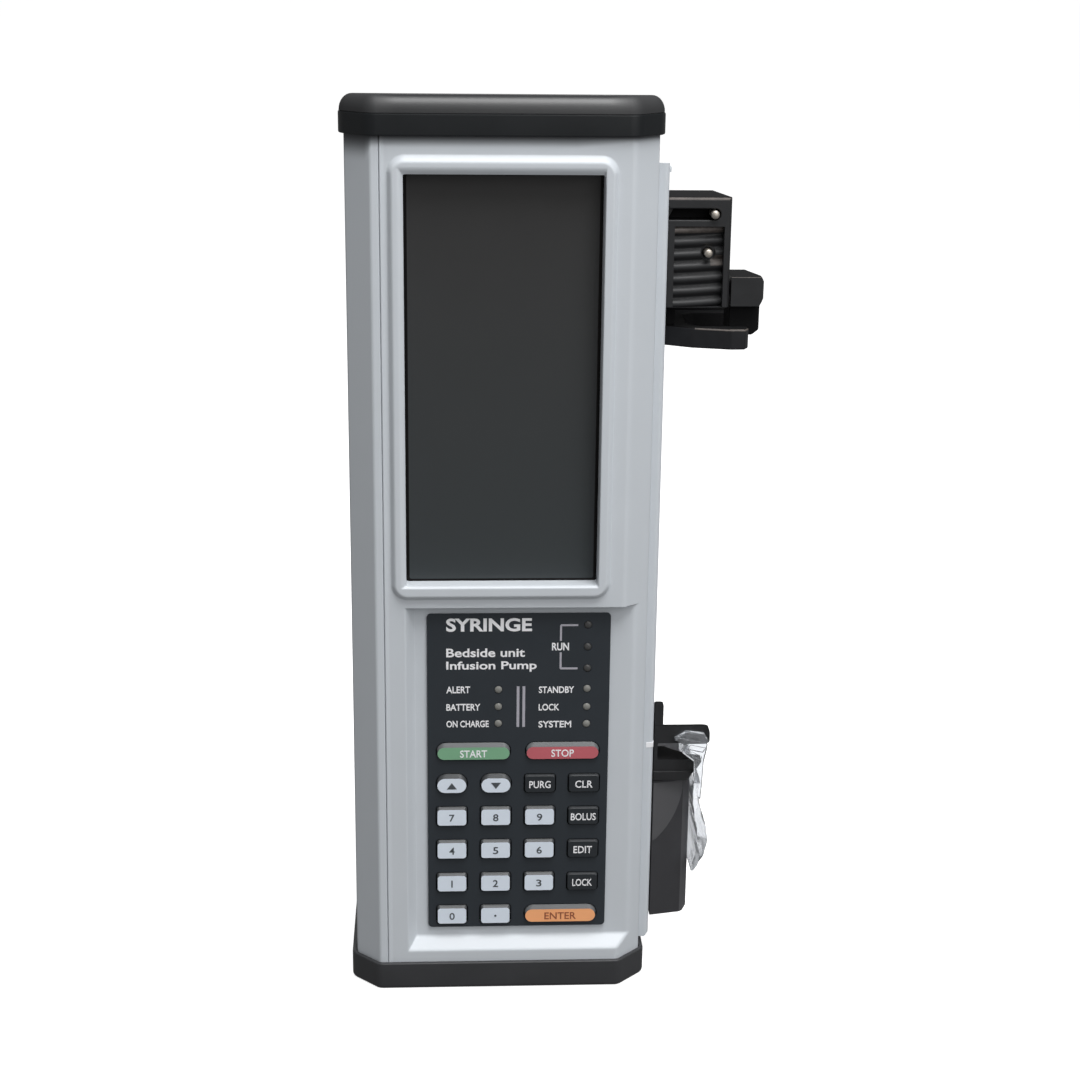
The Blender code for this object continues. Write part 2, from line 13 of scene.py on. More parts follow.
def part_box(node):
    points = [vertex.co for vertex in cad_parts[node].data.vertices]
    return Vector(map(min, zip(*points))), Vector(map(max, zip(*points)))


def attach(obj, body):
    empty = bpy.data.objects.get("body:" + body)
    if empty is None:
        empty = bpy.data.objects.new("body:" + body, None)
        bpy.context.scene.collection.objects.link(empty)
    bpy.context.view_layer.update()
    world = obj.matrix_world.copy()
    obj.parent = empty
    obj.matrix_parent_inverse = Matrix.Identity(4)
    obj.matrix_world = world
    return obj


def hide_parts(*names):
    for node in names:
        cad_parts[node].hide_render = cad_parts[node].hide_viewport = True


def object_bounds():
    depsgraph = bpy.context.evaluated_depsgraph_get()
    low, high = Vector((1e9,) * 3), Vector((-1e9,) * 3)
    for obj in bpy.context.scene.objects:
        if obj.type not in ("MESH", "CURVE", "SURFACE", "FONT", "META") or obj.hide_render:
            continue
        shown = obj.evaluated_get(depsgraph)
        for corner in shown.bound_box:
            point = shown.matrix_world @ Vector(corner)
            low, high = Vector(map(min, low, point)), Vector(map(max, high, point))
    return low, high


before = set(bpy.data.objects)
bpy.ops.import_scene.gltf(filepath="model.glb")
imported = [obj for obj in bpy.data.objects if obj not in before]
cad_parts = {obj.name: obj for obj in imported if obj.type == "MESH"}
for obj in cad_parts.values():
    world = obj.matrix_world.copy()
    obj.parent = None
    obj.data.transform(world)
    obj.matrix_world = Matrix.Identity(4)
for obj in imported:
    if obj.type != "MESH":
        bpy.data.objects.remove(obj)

MM = 0.001
CAD_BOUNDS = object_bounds()
FRONT_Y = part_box("rear_housing")[0].y / MM
CASE_BODY = "pump_case"


class Span:
    """The box of a CAD node, in millimetres."""

    def __init__(self, node):
        low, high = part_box(node)
        self.left, self.right = low.x / MM, high.x / MM
        self.near, self.far = low.y / MM - FRONT_Y, high.y / MM - FRONT_Y
        self.low, self.high = low.z / MM, high.z / MM
        self.x = (self.left + self.right) / 2
        self.depth = (self.near + self.far) / 2
        self.z = (self.low + self.high) / 2

    def face(self, grow=0.0):
        """The box seen from the front, as (left, right, low, high), grown by grow."""
        return self.left - grow, self.right + grow, self.low - grow, self.high + grow


# ---- driving dimensions ----------------------------------------
CASE = Span("rear_housing")
MOULDING = Span("front_housing")
PANEL = Span("keypad_panel")
PANE = Span("lcd_window")
TRACK = Span("track_cover")
ROD = Span("clamp_rod")
SCREWS = (Span("cover_screw_left"), Span("cover_screw_right"))

CHAMFER = 7.3                              # the right chamfer's width and depth
FLAT_RIGHT = MOULDING.right - CHAMFER
LEFT_DROP = CHAMFER                        # the left chamfer's width and depth
FLAT_LEFT = CASE.left + LEFT_DROP
SEAM_GAP = 0.04
SEAM_EDGE = 0.35                           # rounding of the moulding's edge at the seam
WALL = 2.5
FRONT_WALL = 5.5

GLASS_EDGE = (-27.2, 27.8, 129.1, 246.0)   # the opening over the glass: left, right, low, high
GLASS_CORNER = 0.6
RING = (-31.5, 31.5, 124.7, 251.2)         # outer foot of the raised ring
RING_PROUD = -MOULDING.near
RING_RADIUS = 4.8
RING_SLOPE = (1.15, 0.9)                   # width of the slope, and what's added to it along the top
LIP_WIDTHS = (1.8, 0.3, 0.7, 2.2)          # rounding of the opening's edge: left, right, low, high
LIP_SINK = 1.1
RING_SOFT = 0.5                            # rounding where the ring's slope meets its crest
FOOT_SOFT = 0.3                            # rounding at the ring's foot
SEAT_DEPTH = 4.0

RECESS_DEPTH = 3.6
RECESS_LEFT = (-27.5, -25.1)               # top and foot of the recess's left slope
RECESS_LOW = (12.2, 15.6)                  # top and foot of the ramp at the bottom
RECESS_HIGH = 122.1
LEDGE_SLOPE = 8.0
RECESS_SOFT = 0.45                         # rounding along the foot of the recess's slopes
EDGE_SOFT = 1.0                            # rounding between the flat front and the right chamfer
BEAD = (0.3, 1.1, 0.22)                    # bead along the seam: left width, right width, height

SLOT = (24.4, 33.6, 105.0, 239.0)          # the track's slot: near, far, low, high
FRONT_CUT = (2, 10)                        # depths of a cut through the front wall
BACK_CUT = (50, 70)                        # depths of a cut through the back wall
SIDE_CUT = (38, 50)                        # places across of a cut through the case's right wall
TRACK_CUT = (40, 50)                       # the same through the track cover
ROD_HOLE = 2.4                             # radius round the clamp's rod
SCREW_HOLE = 1.9
KEY_STRIP = 1.15                           # height of the slope above a key's face
KEY_TRIM = 0.3                             # how much lower the dark keys end
PRINT_THICK = 0.05
SLICE = 1                                  # how far a cutting shape reaches past what it cuts


# ---- mesh helpers ----------------------------------------------
def point(x, depth, z):
    """A point in metres from its place across, behind the front plane and up."""
    return Vector((x, depth + FRONT_Y, z)) * MM


PLACE = {
    "plan": lambda u, v, t: point(u, v, t),    # an outline of (x, depth), swept up
    "front": lambda u, v, t: point(u, t, v),   # an outline of (x, z), swept back
    "side": lambda u, v, t: point(t, u, v),    # an outline of (depth, z), swept to the right
}


def add_object(name, data):
    obj = bpy.data.objects.new(name, data)
    bpy.context.scene.collection.objects.link(obj)
    return obj


def new_object(name, bm):
    bmesh.ops.recalc_face_normals(bm, faces=bm.faces)
    mesh = bpy.data.meshes.new(name)
    bm.to_mesh(mesh)
    bm.free()
    return add_object(name, mesh)


def loft(bm, rings, material_of=lambda strip: 0):
    """Skins a row of rings with equal counts and closes both ends; material_of gives each strip's slot."""
    rows = [[bm.verts.new(p) for p in ring] for ring in rings]
    bm.faces.new(rows[0][::-1]).material_index = material_of(0)
    bm.faces.new(rows[-1]).material_index = material_of(len(rows))
    for strip, (low, high) in enumerate(zip(rows, rows[1:])):
        for i in range(len(low)):
            j = (i + 1) % len(low)
            face = bm.faces.new((low[i], low[j], high[j], high[i]))
            face.material_index = material_of(strip + 1)


def lofted(name, rings, material_of=lambda strip: 0):
    bm = bmesh.new()
    loft(bm, rings, material_of)
    return new_object(name, bm)


def prism(name, plane, outline, low, high):
    return lofted(name, [[PLACE[plane](u, v, t) for u, v in outline] for t in (low, high)])


def prisms(name, plane, outlines, low, high):
    """Several prisms that don't touch, in one object."""
    bm = bmesh.new()
    for outline in outlines:
        loft(bm, [[PLACE[plane](u, v, t) for u, v in outline] for t in (low, high)])
    return new_object(name, bm)


def block(name, x, depth, z):
    """A box from its (low, high) pairs."""
    return prism(name, "plan", [(x[0], depth[0]), (x[1], depth[0]), (x[1], depth[1]), (x[0], depth[1])], *z)


def circle(cu, cv, radius, count=32, turn=0.0):
    angles = [turn + math.tau * i / count for i in range(count)]
    return [(cu + radius * math.cos(a), cv + radius * math.sin(a)) for a in angles]


def rounded(left, right, low, high, radius, steps=5):
    """A rectangle with round corners."""
    corners = (
        (right - radius, high - radius),
        (left + radius, high - radius),
        (left + radius, low + radius),
        (right - radius, low + radius),
    )
    points = []
    for quarter, (cu, cv) in enumerate(corners):
        for i in range(steps + 1):
            a = math.pi / 2 * (quarter + i / steps)
            points.append((cu + radius * math.cos(a), cv + radius * math.sin(a)))
    return points


def fillet(corners, radius, steps=4):
    """Rounds an outline's corners. A corner is (u, v), or (u, v, its own radius)."""
    outline = []
    for i, corner in enumerate(corners):
        here = Vector(corner[:2])
        size = corner[2] if len(corner) > 2 else radius
        before = Vector(corners[i - 1][:2]) - here
        after = Vector(corners[(i + 1) % len(corners)][:2]) - here
        half = before.angle(after) / 2
        reach = min(size / math.tan(half), before.length * 0.49, after.length * 0.49)
        if reach < 1e-4:
            outline.append(tuple(here))
            continue
        toward = (before.normalized() + after.normalized()).normalized()
        centre = here + toward * (reach / math.cos(half))
        start = here + before.normalized() * reach - centre
        end = here + after.normalized() * reach - centre
        sweep = math.atan2(start.x * end.y - start.y * end.x, start.dot(end))
        for k in range(steps + 1):
            cos, sin = math.cos(sweep * k / steps), math.sin(sweep * k / steps)
            spoke = Vector((start.x * cos - start.y * sin, start.x * sin + start.y * cos))
            outline.append(tuple(centre + spoke))
    return outline


def upright(outline, depth):
    """The points of an outline of (x, z) at a depth."""
    return [point(x, depth, z) for x, z in outline]


def turned(x, z, stages, count=32):
    """Rings of a part turned about an axis from front to back, from its (depth, radius) stages."""
    return [upright(circle(x, z, radius, count), depth) for depth, radius in stages]


def domed(far, foot, radius, rise, angles):
    """Stages of a round bar whose front end bulges by rise beyond foot."""
    dome = [(foot - rise * math.sin(a), radius * math.cos(a)) for a in angles]
    return [(far, radius), (foot, radius)] + dome


def slab(name, outer, inner):
    """A closed sheet between two equal grids of points in millimetres."""
    bm = bmesh.new()
    sheets = [[[bm.verts.new(point(*p)) for p in row] for row in grid] for grid in (outer, inner)]
    rows, columns = len(outer), len(outer[0])
    for sheet in sheets:
        for i in range(rows - 1):
            for j in range(columns - 1):
                bm.faces.new((sheet[i][j], sheet[i][j + 1], sheet[i + 1][j + 1], sheet[i + 1][j]))
    rim = [(0, j) for j in range(columns)] + [(i, columns - 1) for i in range(1, rows)]
    rim += [(rows - 1, j) for j in range(columns - 2, -1, -1)] + [(i, 0) for i in range(rows - 2, 0, -1)]
    front, back = sheets
    for (i, j), (k, m) in zip(rim, rim[1:] + rim[:1]):
        bm.faces.new((front[i][j], front[k][m], back[k][m], back[i][j]))
    return new_object(name, bm)


# ---- modifiers, applied at once --------------------------------
def evaluated_mesh(obj):
    graph = bpy.context.evaluated_depsgraph_get()
    return bpy.data.meshes.new_from_object(obj.evaluated_get(graph))


def bake(obj):
    mesh = evaluated_mesh(obj)
    obj.modifiers.clear()
    obj.data = mesh
    return obj


def boolean(target, others, operation):
    for other in others:
        mod = target.modifiers.new("boolean", "BOOLEAN")
        mod.operation = operation
        mod.solver = "EXACT"
        mod.object = other
        bake(target)
        bpy.data.objects.remove(other, do_unlink=True)
    return target


def cut(target, *others):
    return boolean(target, others, "DIFFERENCE")


def join(target, *others):
    return boolean(target, others, "UNION")


def bevel(obj, width, segments=3, angle=28):
    mod = obj.modifiers.new("bevel", "BEVEL")
    mod.width = width * MM
    mod.segments = segments
    mod.limit_method = "ANGLE"
    mod.angle_limit = math.radians(angle)
    mod.use_clamp_overlap = True
    return bake(obj)


def smooth(obj, sharp=38):
    """Smooth shading, broken where two faces meet at more than sharp degrees."""
    obj.data.shade_smooth()
    obj.data.set_sharp_from_angle(angle=math.radians(sharp))
    mod = obj.modifiers.new("weighted", "WEIGHTED_NORMAL")
    mod.keep_sharp = True
    mod.weight = 60
    return bake(obj)


def paint(obj, choose):
    """Gives each face the material slot from choose(normal, x, depth, z); None leaves it as it is."""
    for side in obj.data.polygons:
        place = side.center / MM
        slot = choose(side.normal, place.x, place.y - FRONT_Y, place.z)
        if slot is not None:
            side.material_index = slot


def dress(obj, looks, replaced=None, sharp=38, body=CASE_BODY):
    """The last step for a piece: shading, materials, its body and the CAD node it stands for."""
    indices = [side.material_index for side in obj.data.polygons]
    smooth(obj, sharp)
    obj.data.materials.clear()
    for look in looks.split():
        obj.data.materials.append(MATS[look])
    obj.data.polygons.foreach_set("material_index", indices)
    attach(obj, body)
    if replaced:
        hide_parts(replaced)


# ---- materials -------------------------------------------------
ROUGH_SWING = 0.05                         # how far the roughness varies over a surface


def add_node(tree, kind, inputs, output, **settings):
    """Adds a node, fills its inputs with values or links, and returns one of its outputs."""
    node = tree.nodes.new(kind)
    for name, value in settings.items():
        setattr(node, name, value)
    for socket, value in inputs.items():
        if isinstance(value, bpy.types.NodeSocket):
            tree.links.new(value, node.inputs[socket])
        else:
            node.inputs[socket].default_value = value
    return node.outputs[output]


def object_place(tree):
    return add_node(tree, "ShaderNodeTexCoord", {}, "Object")


def along(tree, axis):
    """The place along an object axis, in metres."""
    return add_node(tree, "ShaderNodeSeparateXYZ", {"Vector": object_place(tree)}, axis)


def noise(tree, place, size, detail):
    inputs = {"Scale": 1.0 / (size * MM), "Detail": detail, "Vector": place}
    return add_node(tree, "ShaderNodeTexNoise", inputs, "Fac")


def map_range(tree, value, given, wanted, kind="LINEAR"):
    inputs = dict(zip(("From Min", "From Max", "To Min", "To Max"), (*given, *wanted)), Value=value)
    return add_node(tree, "ShaderNodeMapRange", inputs, "Result", interpolation_type=kind)


def math_node(tree, operation, *values):
    return add_node(tree, "ShaderNodeMath", dict(enumerate(values)), "Value", operation=operation)


def mix(tree, level, low, high):
    inputs = {"Factor": level, "A": low, "B": high}
    return add_node(tree, "ShaderNodeMix", inputs, "Result", data_type="RGBA")


def surface(name, color, roughness, metallic=0.0, mottle=0.05, mottle_size=9.0, grain=0.0, grain_size=0.35,
            ior=1.5, transmission=0.0):
    """A moulded or machined surface: slow colour and gloss variation, and a fine bump."""
    mat = bpy.data.materials.new(name)
    mat.use_nodes = True
    tree = mat.node_tree
    shader = tree.nodes["Principled BSDF"]
    shader.inputs["Metallic"].default_value = metallic
    shader.inputs["IOR"].default_value = ior
    shader.inputs["Transmission Weight"].default_value = transmission

    place = object_place(tree)
    slow = noise(tree, place, mottle_size, 4.0)
    deep, pale = [(*[min(1.0, c * (1 + swing)) for c in color], 1.0) for swing in (-mottle, mottle)]
    tree.links.new(mix(tree, slow, deep, pale), shader.inputs["Base Color"])
    gloss = (max(0.02, roughness - ROUGH_SWING), roughness + ROUGH_SWING)
    tree.links.new(map_range(tree, slow, (0.0, 1.0), gloss), shader.inputs["Roughness"])
    if grain > 0:
        inputs = {"Strength": 1.0, "Distance": grain * MM, "Height": noise(tree, place, grain_size, 2.0)}
        tree.links.new(add_node(tree, "ShaderNodeBump", inputs, "Normal"), shader.inputs["Normal"])
    return mat


def make_materials():
    soft = {"grain": 0.006, "grain_size": 0.5, "ior": 1.4}
    moulded = {"grain": 0.008, "mottle_size": 4, "ior": 1.36}
    key = {"mottle": 0.1, "ior": 1.45}
    print_wide = {"mottle_size": 8}
    ink = {"mottle": 0.05, "mottle_size": 2}
    lens = {"mottle": 0.1, "mottle_size": 2, "ior": 1.4}
    return {
        "case": surface("case_grey_moulded", (0.585, 0.62, 0.657), 0.42, mottle=0.02, grain=0.004),
        "rubber": surface("soft_black_cap", (0.009, 0.0105, 0.012), 0.38, mottle=0.15, **soft),
        "cap": surface("soft_black_top", (0.014, 0.0145, 0.016), 0.42, mottle=0.2, **soft),
        "boot": surface("soft_black_boot", (0.038, 0.039, 0.042), 0.4, mottle=0.15, **soft),
        # a darker, rougher copy of the black: painted shade on the tops and in the recesses of the driver's
        # parts
        "matte": surface("black_matte", (0.006, 0.006, 0.0065), 0.75, mottle=0.2, ior=1.2),
        "black": surface("black_moulded", (0.0205, 0.021, 0.0225), 0.48, mottle=0.2, **moulded),
        "worn": surface("black_moulded_worn", (0.075, 0.064, 0.058), 0.6, mottle=0.85, mottle_size=1.3,
                        grain=0.02),
        "cradle": surface("black_cradle", (0.041, 0.041, 0.045), 0.5, mottle=0.08, grain=0.006, ior=1.36),
        # a paler black for the inlay on the cradle's face, also put on the cradle's right-facing bevel as
        # painted light
        "cradle_pad": surface("black_cradle_pad", (0.084, 0.084, 0.089), 0.6, mottle=0.06, grain=0.01,
                              ior=1.36),
        "film": surface("panel_film_dark", (0.026, 0.032, 0.039), 0.5, mottle=0.1, grain=0.003,
                        grain_size=0.2, ior=1.4),
        "key_film": surface("key_film_dark", (0.021, 0.025, 0.0295), 0.4, **key),
        "pusher": surface("black_pusher", (0.012, 0.0125, 0.0145), 0.46, mottle=0.25, **moulded),
        # lighter copies of the key film for the keys' upward slopes: a painted highlight, the brighter one on
        # the coloured keys
        "key_painted_highlight": surface("key_film_rim", (0.046, 0.049, 0.053), 0.4, **key),
        "key_bright_painted_highlight": surface("key_film_edge", (0.11, 0.115, 0.12), 0.4, **key),
        "light": surface("key_print_light", (0.74, 0.81, 0.90), 0.4, mottle=0.03, mottle_size=3),
        "green": surface("key_print_green", (0.20, 0.41, 0.25), 0.42, mottle=0.1, **print_wide),
        "red": surface("key_print_red", (0.52, 0.122, 0.145), 0.42, mottle=0.08, **print_wide),
        "orange": surface("key_print_orange", (0.98, 0.44, 0.20), 0.42, mottle=0.05, **print_wide),
        "white_ink": surface("ink_white", (0.9, 0.9, 0.92), 0.5, mottle=0.04, mottle_size=2),
        "grey_ink": surface("ink_grey", (0.42, 0.41, 0.46), 0.5, **ink),
        "dark_ink": surface("ink_dark", (0.07, 0.08, 0.09), 0.5, **ink),
        "brown_ink": surface("ink_brown", (0.30, 0.085, 0.04), 0.5, **ink),
        "border": surface("glass_border", (0.006, 0.0055, 0.0055), 0.12, mottle=0.1, ior=1.25),
        "display": surface("glass_display", (0.041, 0.040, 0.040), 0.3, mottle=0.10, mottle_size=26, ior=1.3),
        "lamp": surface("lamp_lens", (0.22, 0.22, 0.205), 0.4, **lens),
        "lamp_dim": surface("lamp_lens_dim", (0.06, 0.06, 0.06), 0.4, **lens),
        "steel": surface("steel_turned", (0.62, 0.58, 0.53), 0.28, 1.0, **ink),
        "pin": surface("steel_pin_tumbled", (0.50, 0.46, 0.41), 0.5, 1.0, mottle=0.2, mottle_size=1.2,
                       grain=0.01),
        "brass": surface("brass_machined", (0.68, 0.50, 0.22), 0.32, 1.0, mottle=0.06, mottle_size=3),
        "aluminium": surface("aluminium_blasted", (0.62, 0.63, 0.65), 0.42, 1.0, mottle=0.04, grain=0.006),
        "clear": surface("clear_acrylic", (0.66, 0.68, 0.71), 0.09, mottle=0.06, mottle_size=2, ior=1.46,
                         transmission=0.88, grain=0.016, grain_size=1.8),
        "board": surface("circuit_board_green", (0.02, 0.13, 0.055), 0.45, mottle=0.35, mottle_size=3),
        "battery": surface("battery_wrap_blue", (0.045, 0.10, 0.30), 0.4, mottle=0.06),
        "inner_black": surface("inner_black", (0.02, 0.02, 0.022), 0.5, mottle=0.1, grain=0.005),
    }


def fade_display(mat):
    """Makes the display's colour lighten towards its foot."""
    tree = mat.node_tree
    foot = (0.044, 0.050, 0.053, 1.0)
    base = tree.nodes["Principled BSDF"].inputs["Base Color"]
    share = map_range(tree, along(tree, "Z"), (GLASS_EDGE[3] * MM, GLASS_EDGE[2] * MM), (0.0, 1.0))
    tree.links.new(mix(tree, share, base.links[0].from_socket, foot), base)


def shade_under_cap(mat):
    """Darkens the case just under the cap, further down on its left chamfer and less on the right."""
    tree = mat.node_tree
    shade = (0.045, 0.048, 0.054, 1.0)
    left_reach, front_reach, right_trim = 7.5 * MM, 3.5 * MM, 1.6 * MM
    base = tree.nodes["Principled BSDF"].inputs["Base Color"]
    across = along(tree, "X")
    reach = map_range(tree, across, (-37.5 * MM, -35.5 * MM), (left_reach, front_reach))
    trim = map_range(tree, across, (20.0 * MM, 34.0 * MM), (0.0, right_trim))
    reach = math_node(tree, "SUBTRACT", reach, trim)
    down = math_node(tree, "SUBTRACT", Span("top_cap").low * MM, along(tree, "Z"))
    level = map_range(tree, math_node(tree, "DIVIDE", down, reach), (0.0, 1.0), (0.0, 1.0), "SMOOTHSTEP")
    tree.links.new(mix(tree, level, shade, base.links[0].from_socket), base)


def dim_cap_ends(mat):
    """Makes the cap glossy, and duller towards its ends."""
    tree = mat.node_tree
    shader = tree.nodes["Principled BSDF"]
    shader.inputs["Specular IOR Level"].default_value = 0.95
    away = math_node(tree, "ABSOLUTE", along(tree, "X"))
    dull = map_range(tree, away, (29.0 * MM, 37.0 * MM), (0.42, 0.72))
    tree.links.new(dull, shader.inputs["Roughness"])


MATS = make_materials()
fade_display(MATS["display"])
shade_under_cap(MATS["case"])
dim_cap_ends(MATS["cap"])


# ---- front moulding --------------------------------------------
def soft_max(a, b, width):
    """The larger of two heights, with the crease between them rounded over width."""
    near = max(width - abs(a - b), 0.0)
    return max(a, b) + near * near / (4 * width)


def soft_min(a, b, width):
    return -soft_max(-a, -b, width)


def outside_of(x, z, rect, radius):
    """How far (x, z) lies outside a round-cornered rectangle; negative inside."""
    left, right, low, high = rect
    u = abs(x - (left + right) / 2) - (right - left) / 2 + radius
    v = abs(z - (low + high) / 2) - (high - low) / 2 + radius
    return math.hypot(max(u, 0), max(v, 0)) + min(max(u, v), 0) - radius


def front_depth(x, z):
    """Depth of the moulded face: the ring around the glass, the keypad recess and the right chamfer."""
    inward = -outside_of(x, z, RING, RING_RADIUS)
    upper = min(max((z - RING[3]) / RING_RADIUS + 1, 0.0), 1.0)
    width = RING_SLOPE[0] + RING_SLOPE[1] * upper
    ring = soft_min(inward * RING_PROUD / width, RING_PROUD, RING_SOFT)
    left, right, low, high = GLASS_EDGE
    beyond = (left - x, x - right, low - z, z - high)
    share = min(max(max(away / lip for away, lip in zip(beyond, LIP_WIDTHS)), 0.0), 1.0)
    ring -= LIP_SINK * (1 - share) ** 2
    depth = -ring if inward > 0 else 0.0
    recess = RECESS_DEPTH
    for slope in (
        (x - RECESS_LEFT[0]) * RECESS_DEPTH / (RECESS_LEFT[1] - RECESS_LEFT[0]),
        (z - RECESS_LOW[0]) * RECESS_DEPTH / (RECESS_LOW[1] - RECESS_LOW[0]),
        (RECESS_HIGH - z) * LEDGE_SLOPE,
    ):
        recess = soft_min(recess, slope, RECESS_SOFT)
    depth = soft_max(depth, recess, FOOT_SOFT)
    depth = soft_max(depth, x - FLAT_RIGHT, EDGE_SOFT)
    past_bead = x - MOULDING.left - BEAD[0]
    bead = 1.0 - abs(past_bead) / BEAD[past_bead >= 0]
    depth -= BEAD[2] * max(bead, 0.0)
    edge = SEAM_EDGE - (x - MOULDING.left)
    if edge > 0:
        depth += SEAM_EDGE - math.sqrt(max(SEAM_EDGE ** 2 - edge ** 2, 0))
    return depth


def stations(*stretches):
    """Places along an axis: each stretch is (start, end, longest step)."""
    places = [stretches[0][0]]
    for start, end, step in stretches:
        count = max(1, math.ceil((end - start) / step - 1e-6))
        places += [start + (end - start) * (i + 1) / count for i in range(count)]
    return places


def make_front_moulding():
    left, right = MOULDING.left, MOULDING.right
    arc = 1.2                                  # rounding between the chamfer and the side
    eighth = math.pi / 4
    reach = arc * math.tan(eighth / 2)
    columns = stations(
        (left, left + SEAM_EDGE, 0.08), (left + SEAM_EDGE, -31.6, 0.3), (-31.6, -24.5, 0.24),
        (-24.5, 24.5, 5), (24.5, 27.6, 0.6), (27.6, 31.6, 0.2), (31.6, FLAT_RIGHT - 1, 1),
        (FLAT_RIGHT - 1, FLAT_RIGHT + 1, 0.2), (FLAT_RIGHT + 1, right - reach * math.sin(eighth), 0.45),
    )
    rows = stations(
        (MOULDING.low, 11.4, 2.5), (11.4, 16.6, 0.3), (16.6, 121.2, 6), (121.2, 122.7, 0.12),
        (122.7, 124.4, 0.6), (124.4, 131.5, 0.24), (131.5, 243.5, 7), (243.5, 251.5, 0.24),
        (251.5, MOULDING.high, 3),
    )
    bm = bmesh.new()
    front = [[bm.verts.new(point(x, front_depth(x, z), z)) for z in rows] for x in columns]
    side = []
    for i in range(1, 6):
        a = eighth - eighth * i / 5
        side.append((right - arc + arc * math.cos(a), CHAMFER + reach - arc * math.sin(a)))
    for x, depth in side + [(right, MOULDING.far)]:
        front.append([bm.verts.new(point(x, depth, z)) for z in rows])
    inner = right - WALL
    back_path = [
        (inner, MOULDING.far), (inner, CHAMFER + 2.6), (FLAT_RIGHT - 0.8, FRONT_WALL), (left, FRONT_WALL),
    ]
    back = [[bm.verts.new(point(x, d, z)) for z in (rows[0], rows[-1])] for x, d in back_path]
    for near, far in zip(front, front[1:]):
        for i in range(len(rows) - 1):
            bm.faces.new((near[i], far[i], far[i + 1], near[i + 1]))
    for near, far in zip(back, back[1:]):
        bm.faces.new((near[0], far[0], far[1], near[1]))
    for end in (0, -1):
        bm.faces.new([column[end] for column in front + back])
    bm.faces.new(front[0] + [back[-1][1], back[-1][0]])
    bm.faces.new(front[-1] + [back[0][1], back[0][0]])
    obj = new_object("front_moulding", bm)
    edge = 0.3
    seat_x, seat_z = (PANE.left - edge, PANE.right + edge), (PANE.low - edge, PANE.high + edge)
    cut(
        obj,
        prism("cut_glass", "front", rounded(*GLASS_EDGE, GLASS_CORNER), -5, 10),
        block("cut_seat", seat_x, (SEAT_DEPTH, 10), seat_z),
        block("cut_keys", (-20.0, 30.6), FRONT_CUT, (19.6, 80.0)),
        block("cut_lamps_left", (-2.0, 1.0), FRONT_CUT, (83.4, 97.4)),
        block("cut_lamps_right", (24.1, 27.1), FRONT_CUT, (83.1, 117.5)),
    )
    dress(obj, "case", "front_housing", sharp=50)


# ---- rear shell, cap and boot ----------------------------------
def case_corners(out, front_radius):
    """Corners of the case's plan outline, moved outwards by out, each with its rounding."""
    slope = out * (math.sqrt(2) - 1)
    near, far = -out, CASE.far + out
    left, right = CASE.left - out, CASE.right + out

    def size(radius):
        return max(radius + out, 0.25)

    return [
        (FLAT_LEFT - slope, near, size(front_radius)),
        (FLAT_RIGHT + slope, near, size(front_radius)),
        (right, CHAMFER - slope, size(front_radius)),
        (right, far, size(2.5)),
        (left, far, size(2.5)),
        (left, LEFT_DROP - slope, size(front_radius)),
    ]


def make_rear_shell():
    lip = MOULDING.left - SEAM_GAP
    inner = CASE.right - WALL
    joint = MOULDING.far + SEAM_GAP
    corners = [
        (lip, 3.0, 0.0), (lip, 0.0, 0.35), (FLAT_LEFT, 0.0, 1.4), (CASE.left, LEFT_DROP, 1.6),
        (CASE.left, CASE.far, 3.0), (CASE.right, CASE.far, 3.0), (CASE.right, joint, 0.2),
        (inner, joint, 0.0), (inner, CASE.far - WALL, 1.0), (-inner, CASE.far - WALL, 1.0),
        (-inner, LEFT_DROP + 1.0, 0.5),
    ]
    obj = prism("rear_shell", "plan", fillet(corners, 0), CASE.low, CASE.high)
    inlet = Span("power_inlet").face(0.3)
    near, far, low, high = SLOT
    vents = [rounded(-31, -13, z, z + 1.8, 0.85) for z in range(208, 234, 5)]
    cut(
        obj,
        block("cut_slot", SIDE_CUT, (near, far), (low, high)),
        prism("cut_rod", "side", circle(ROD.depth, ROD.z, ROD_HOLE), *SIDE_CUT),
        block("cut_inlet", inlet[:2], BACK_CUT, inlet[2:]),
        prisms("cut_screws", "front", [circle(s.x, s.z, SCREW_HOLE) for s in SCREWS], *BACK_CUT),
        prisms("cut_sound", "front", vents, *BACK_CUT),
    )
    dress(obj, "case", "rear_housing", sharp=30)


CREASE = 262.1                             # height of the crease round the cap
SHOULDER = (3.6, 4.7)                      # width and height of the cap's round shoulder, at the front
CAP_FALL = 0.0736                          # slope of the cap's top towards the back


def make_cap():
    """The cap: upright sides, a fine crease and round shoulders, with a top that falls to the back."""
    cap = Span("top_cap")
    out, low = -cap.near, cap.low
    stack = [
        (out - 0.06, low + 3.0), (out - 0.06, low + 0.05), (0.45, low), (0.12, low + 0.12), (0.0, low + 0.45),
        (0.0, CREASE - 0.4), (0.1, CREASE - 0.12), (0.4, CREASE - 0.02), (0.4, CREASE + 0.08),
    ]
    for i in range(9):
        a = math.pi / 2 * i / 8
        stack.append((0.25 + SHOULDER[0] * (1 - math.cos(a)), CREASE + 0.2 + SHOULDER[1] * math.sin(a)))
    stack += [(9.0, stack[-1][1]), (14.0, stack[-1][1])]
    make_cup("cap_moulding", "top_cap", out, stack, 4.5, "rubber")


def make_boot():
    boot = Span("bottom_boot")
    out = -boot.near
    stack = [(out - 0.3, 2.8), (out - 0.3, boot.high), (0.35, boot.high), (0.0, boot.high - 0.35)]
    edge = 1.5
    for i in range(6):
        a = math.pi / 2 * i / 5
        stack.append((edge * (1 - math.cos(a)), edge - edge * math.sin(a)))
    stack += [(edge + 3.0, 0.0), (edge + 3.4, 0.5)]
    make_cup("boot_moulding", "bottom_boot", out, stack, 2.0, "boot")


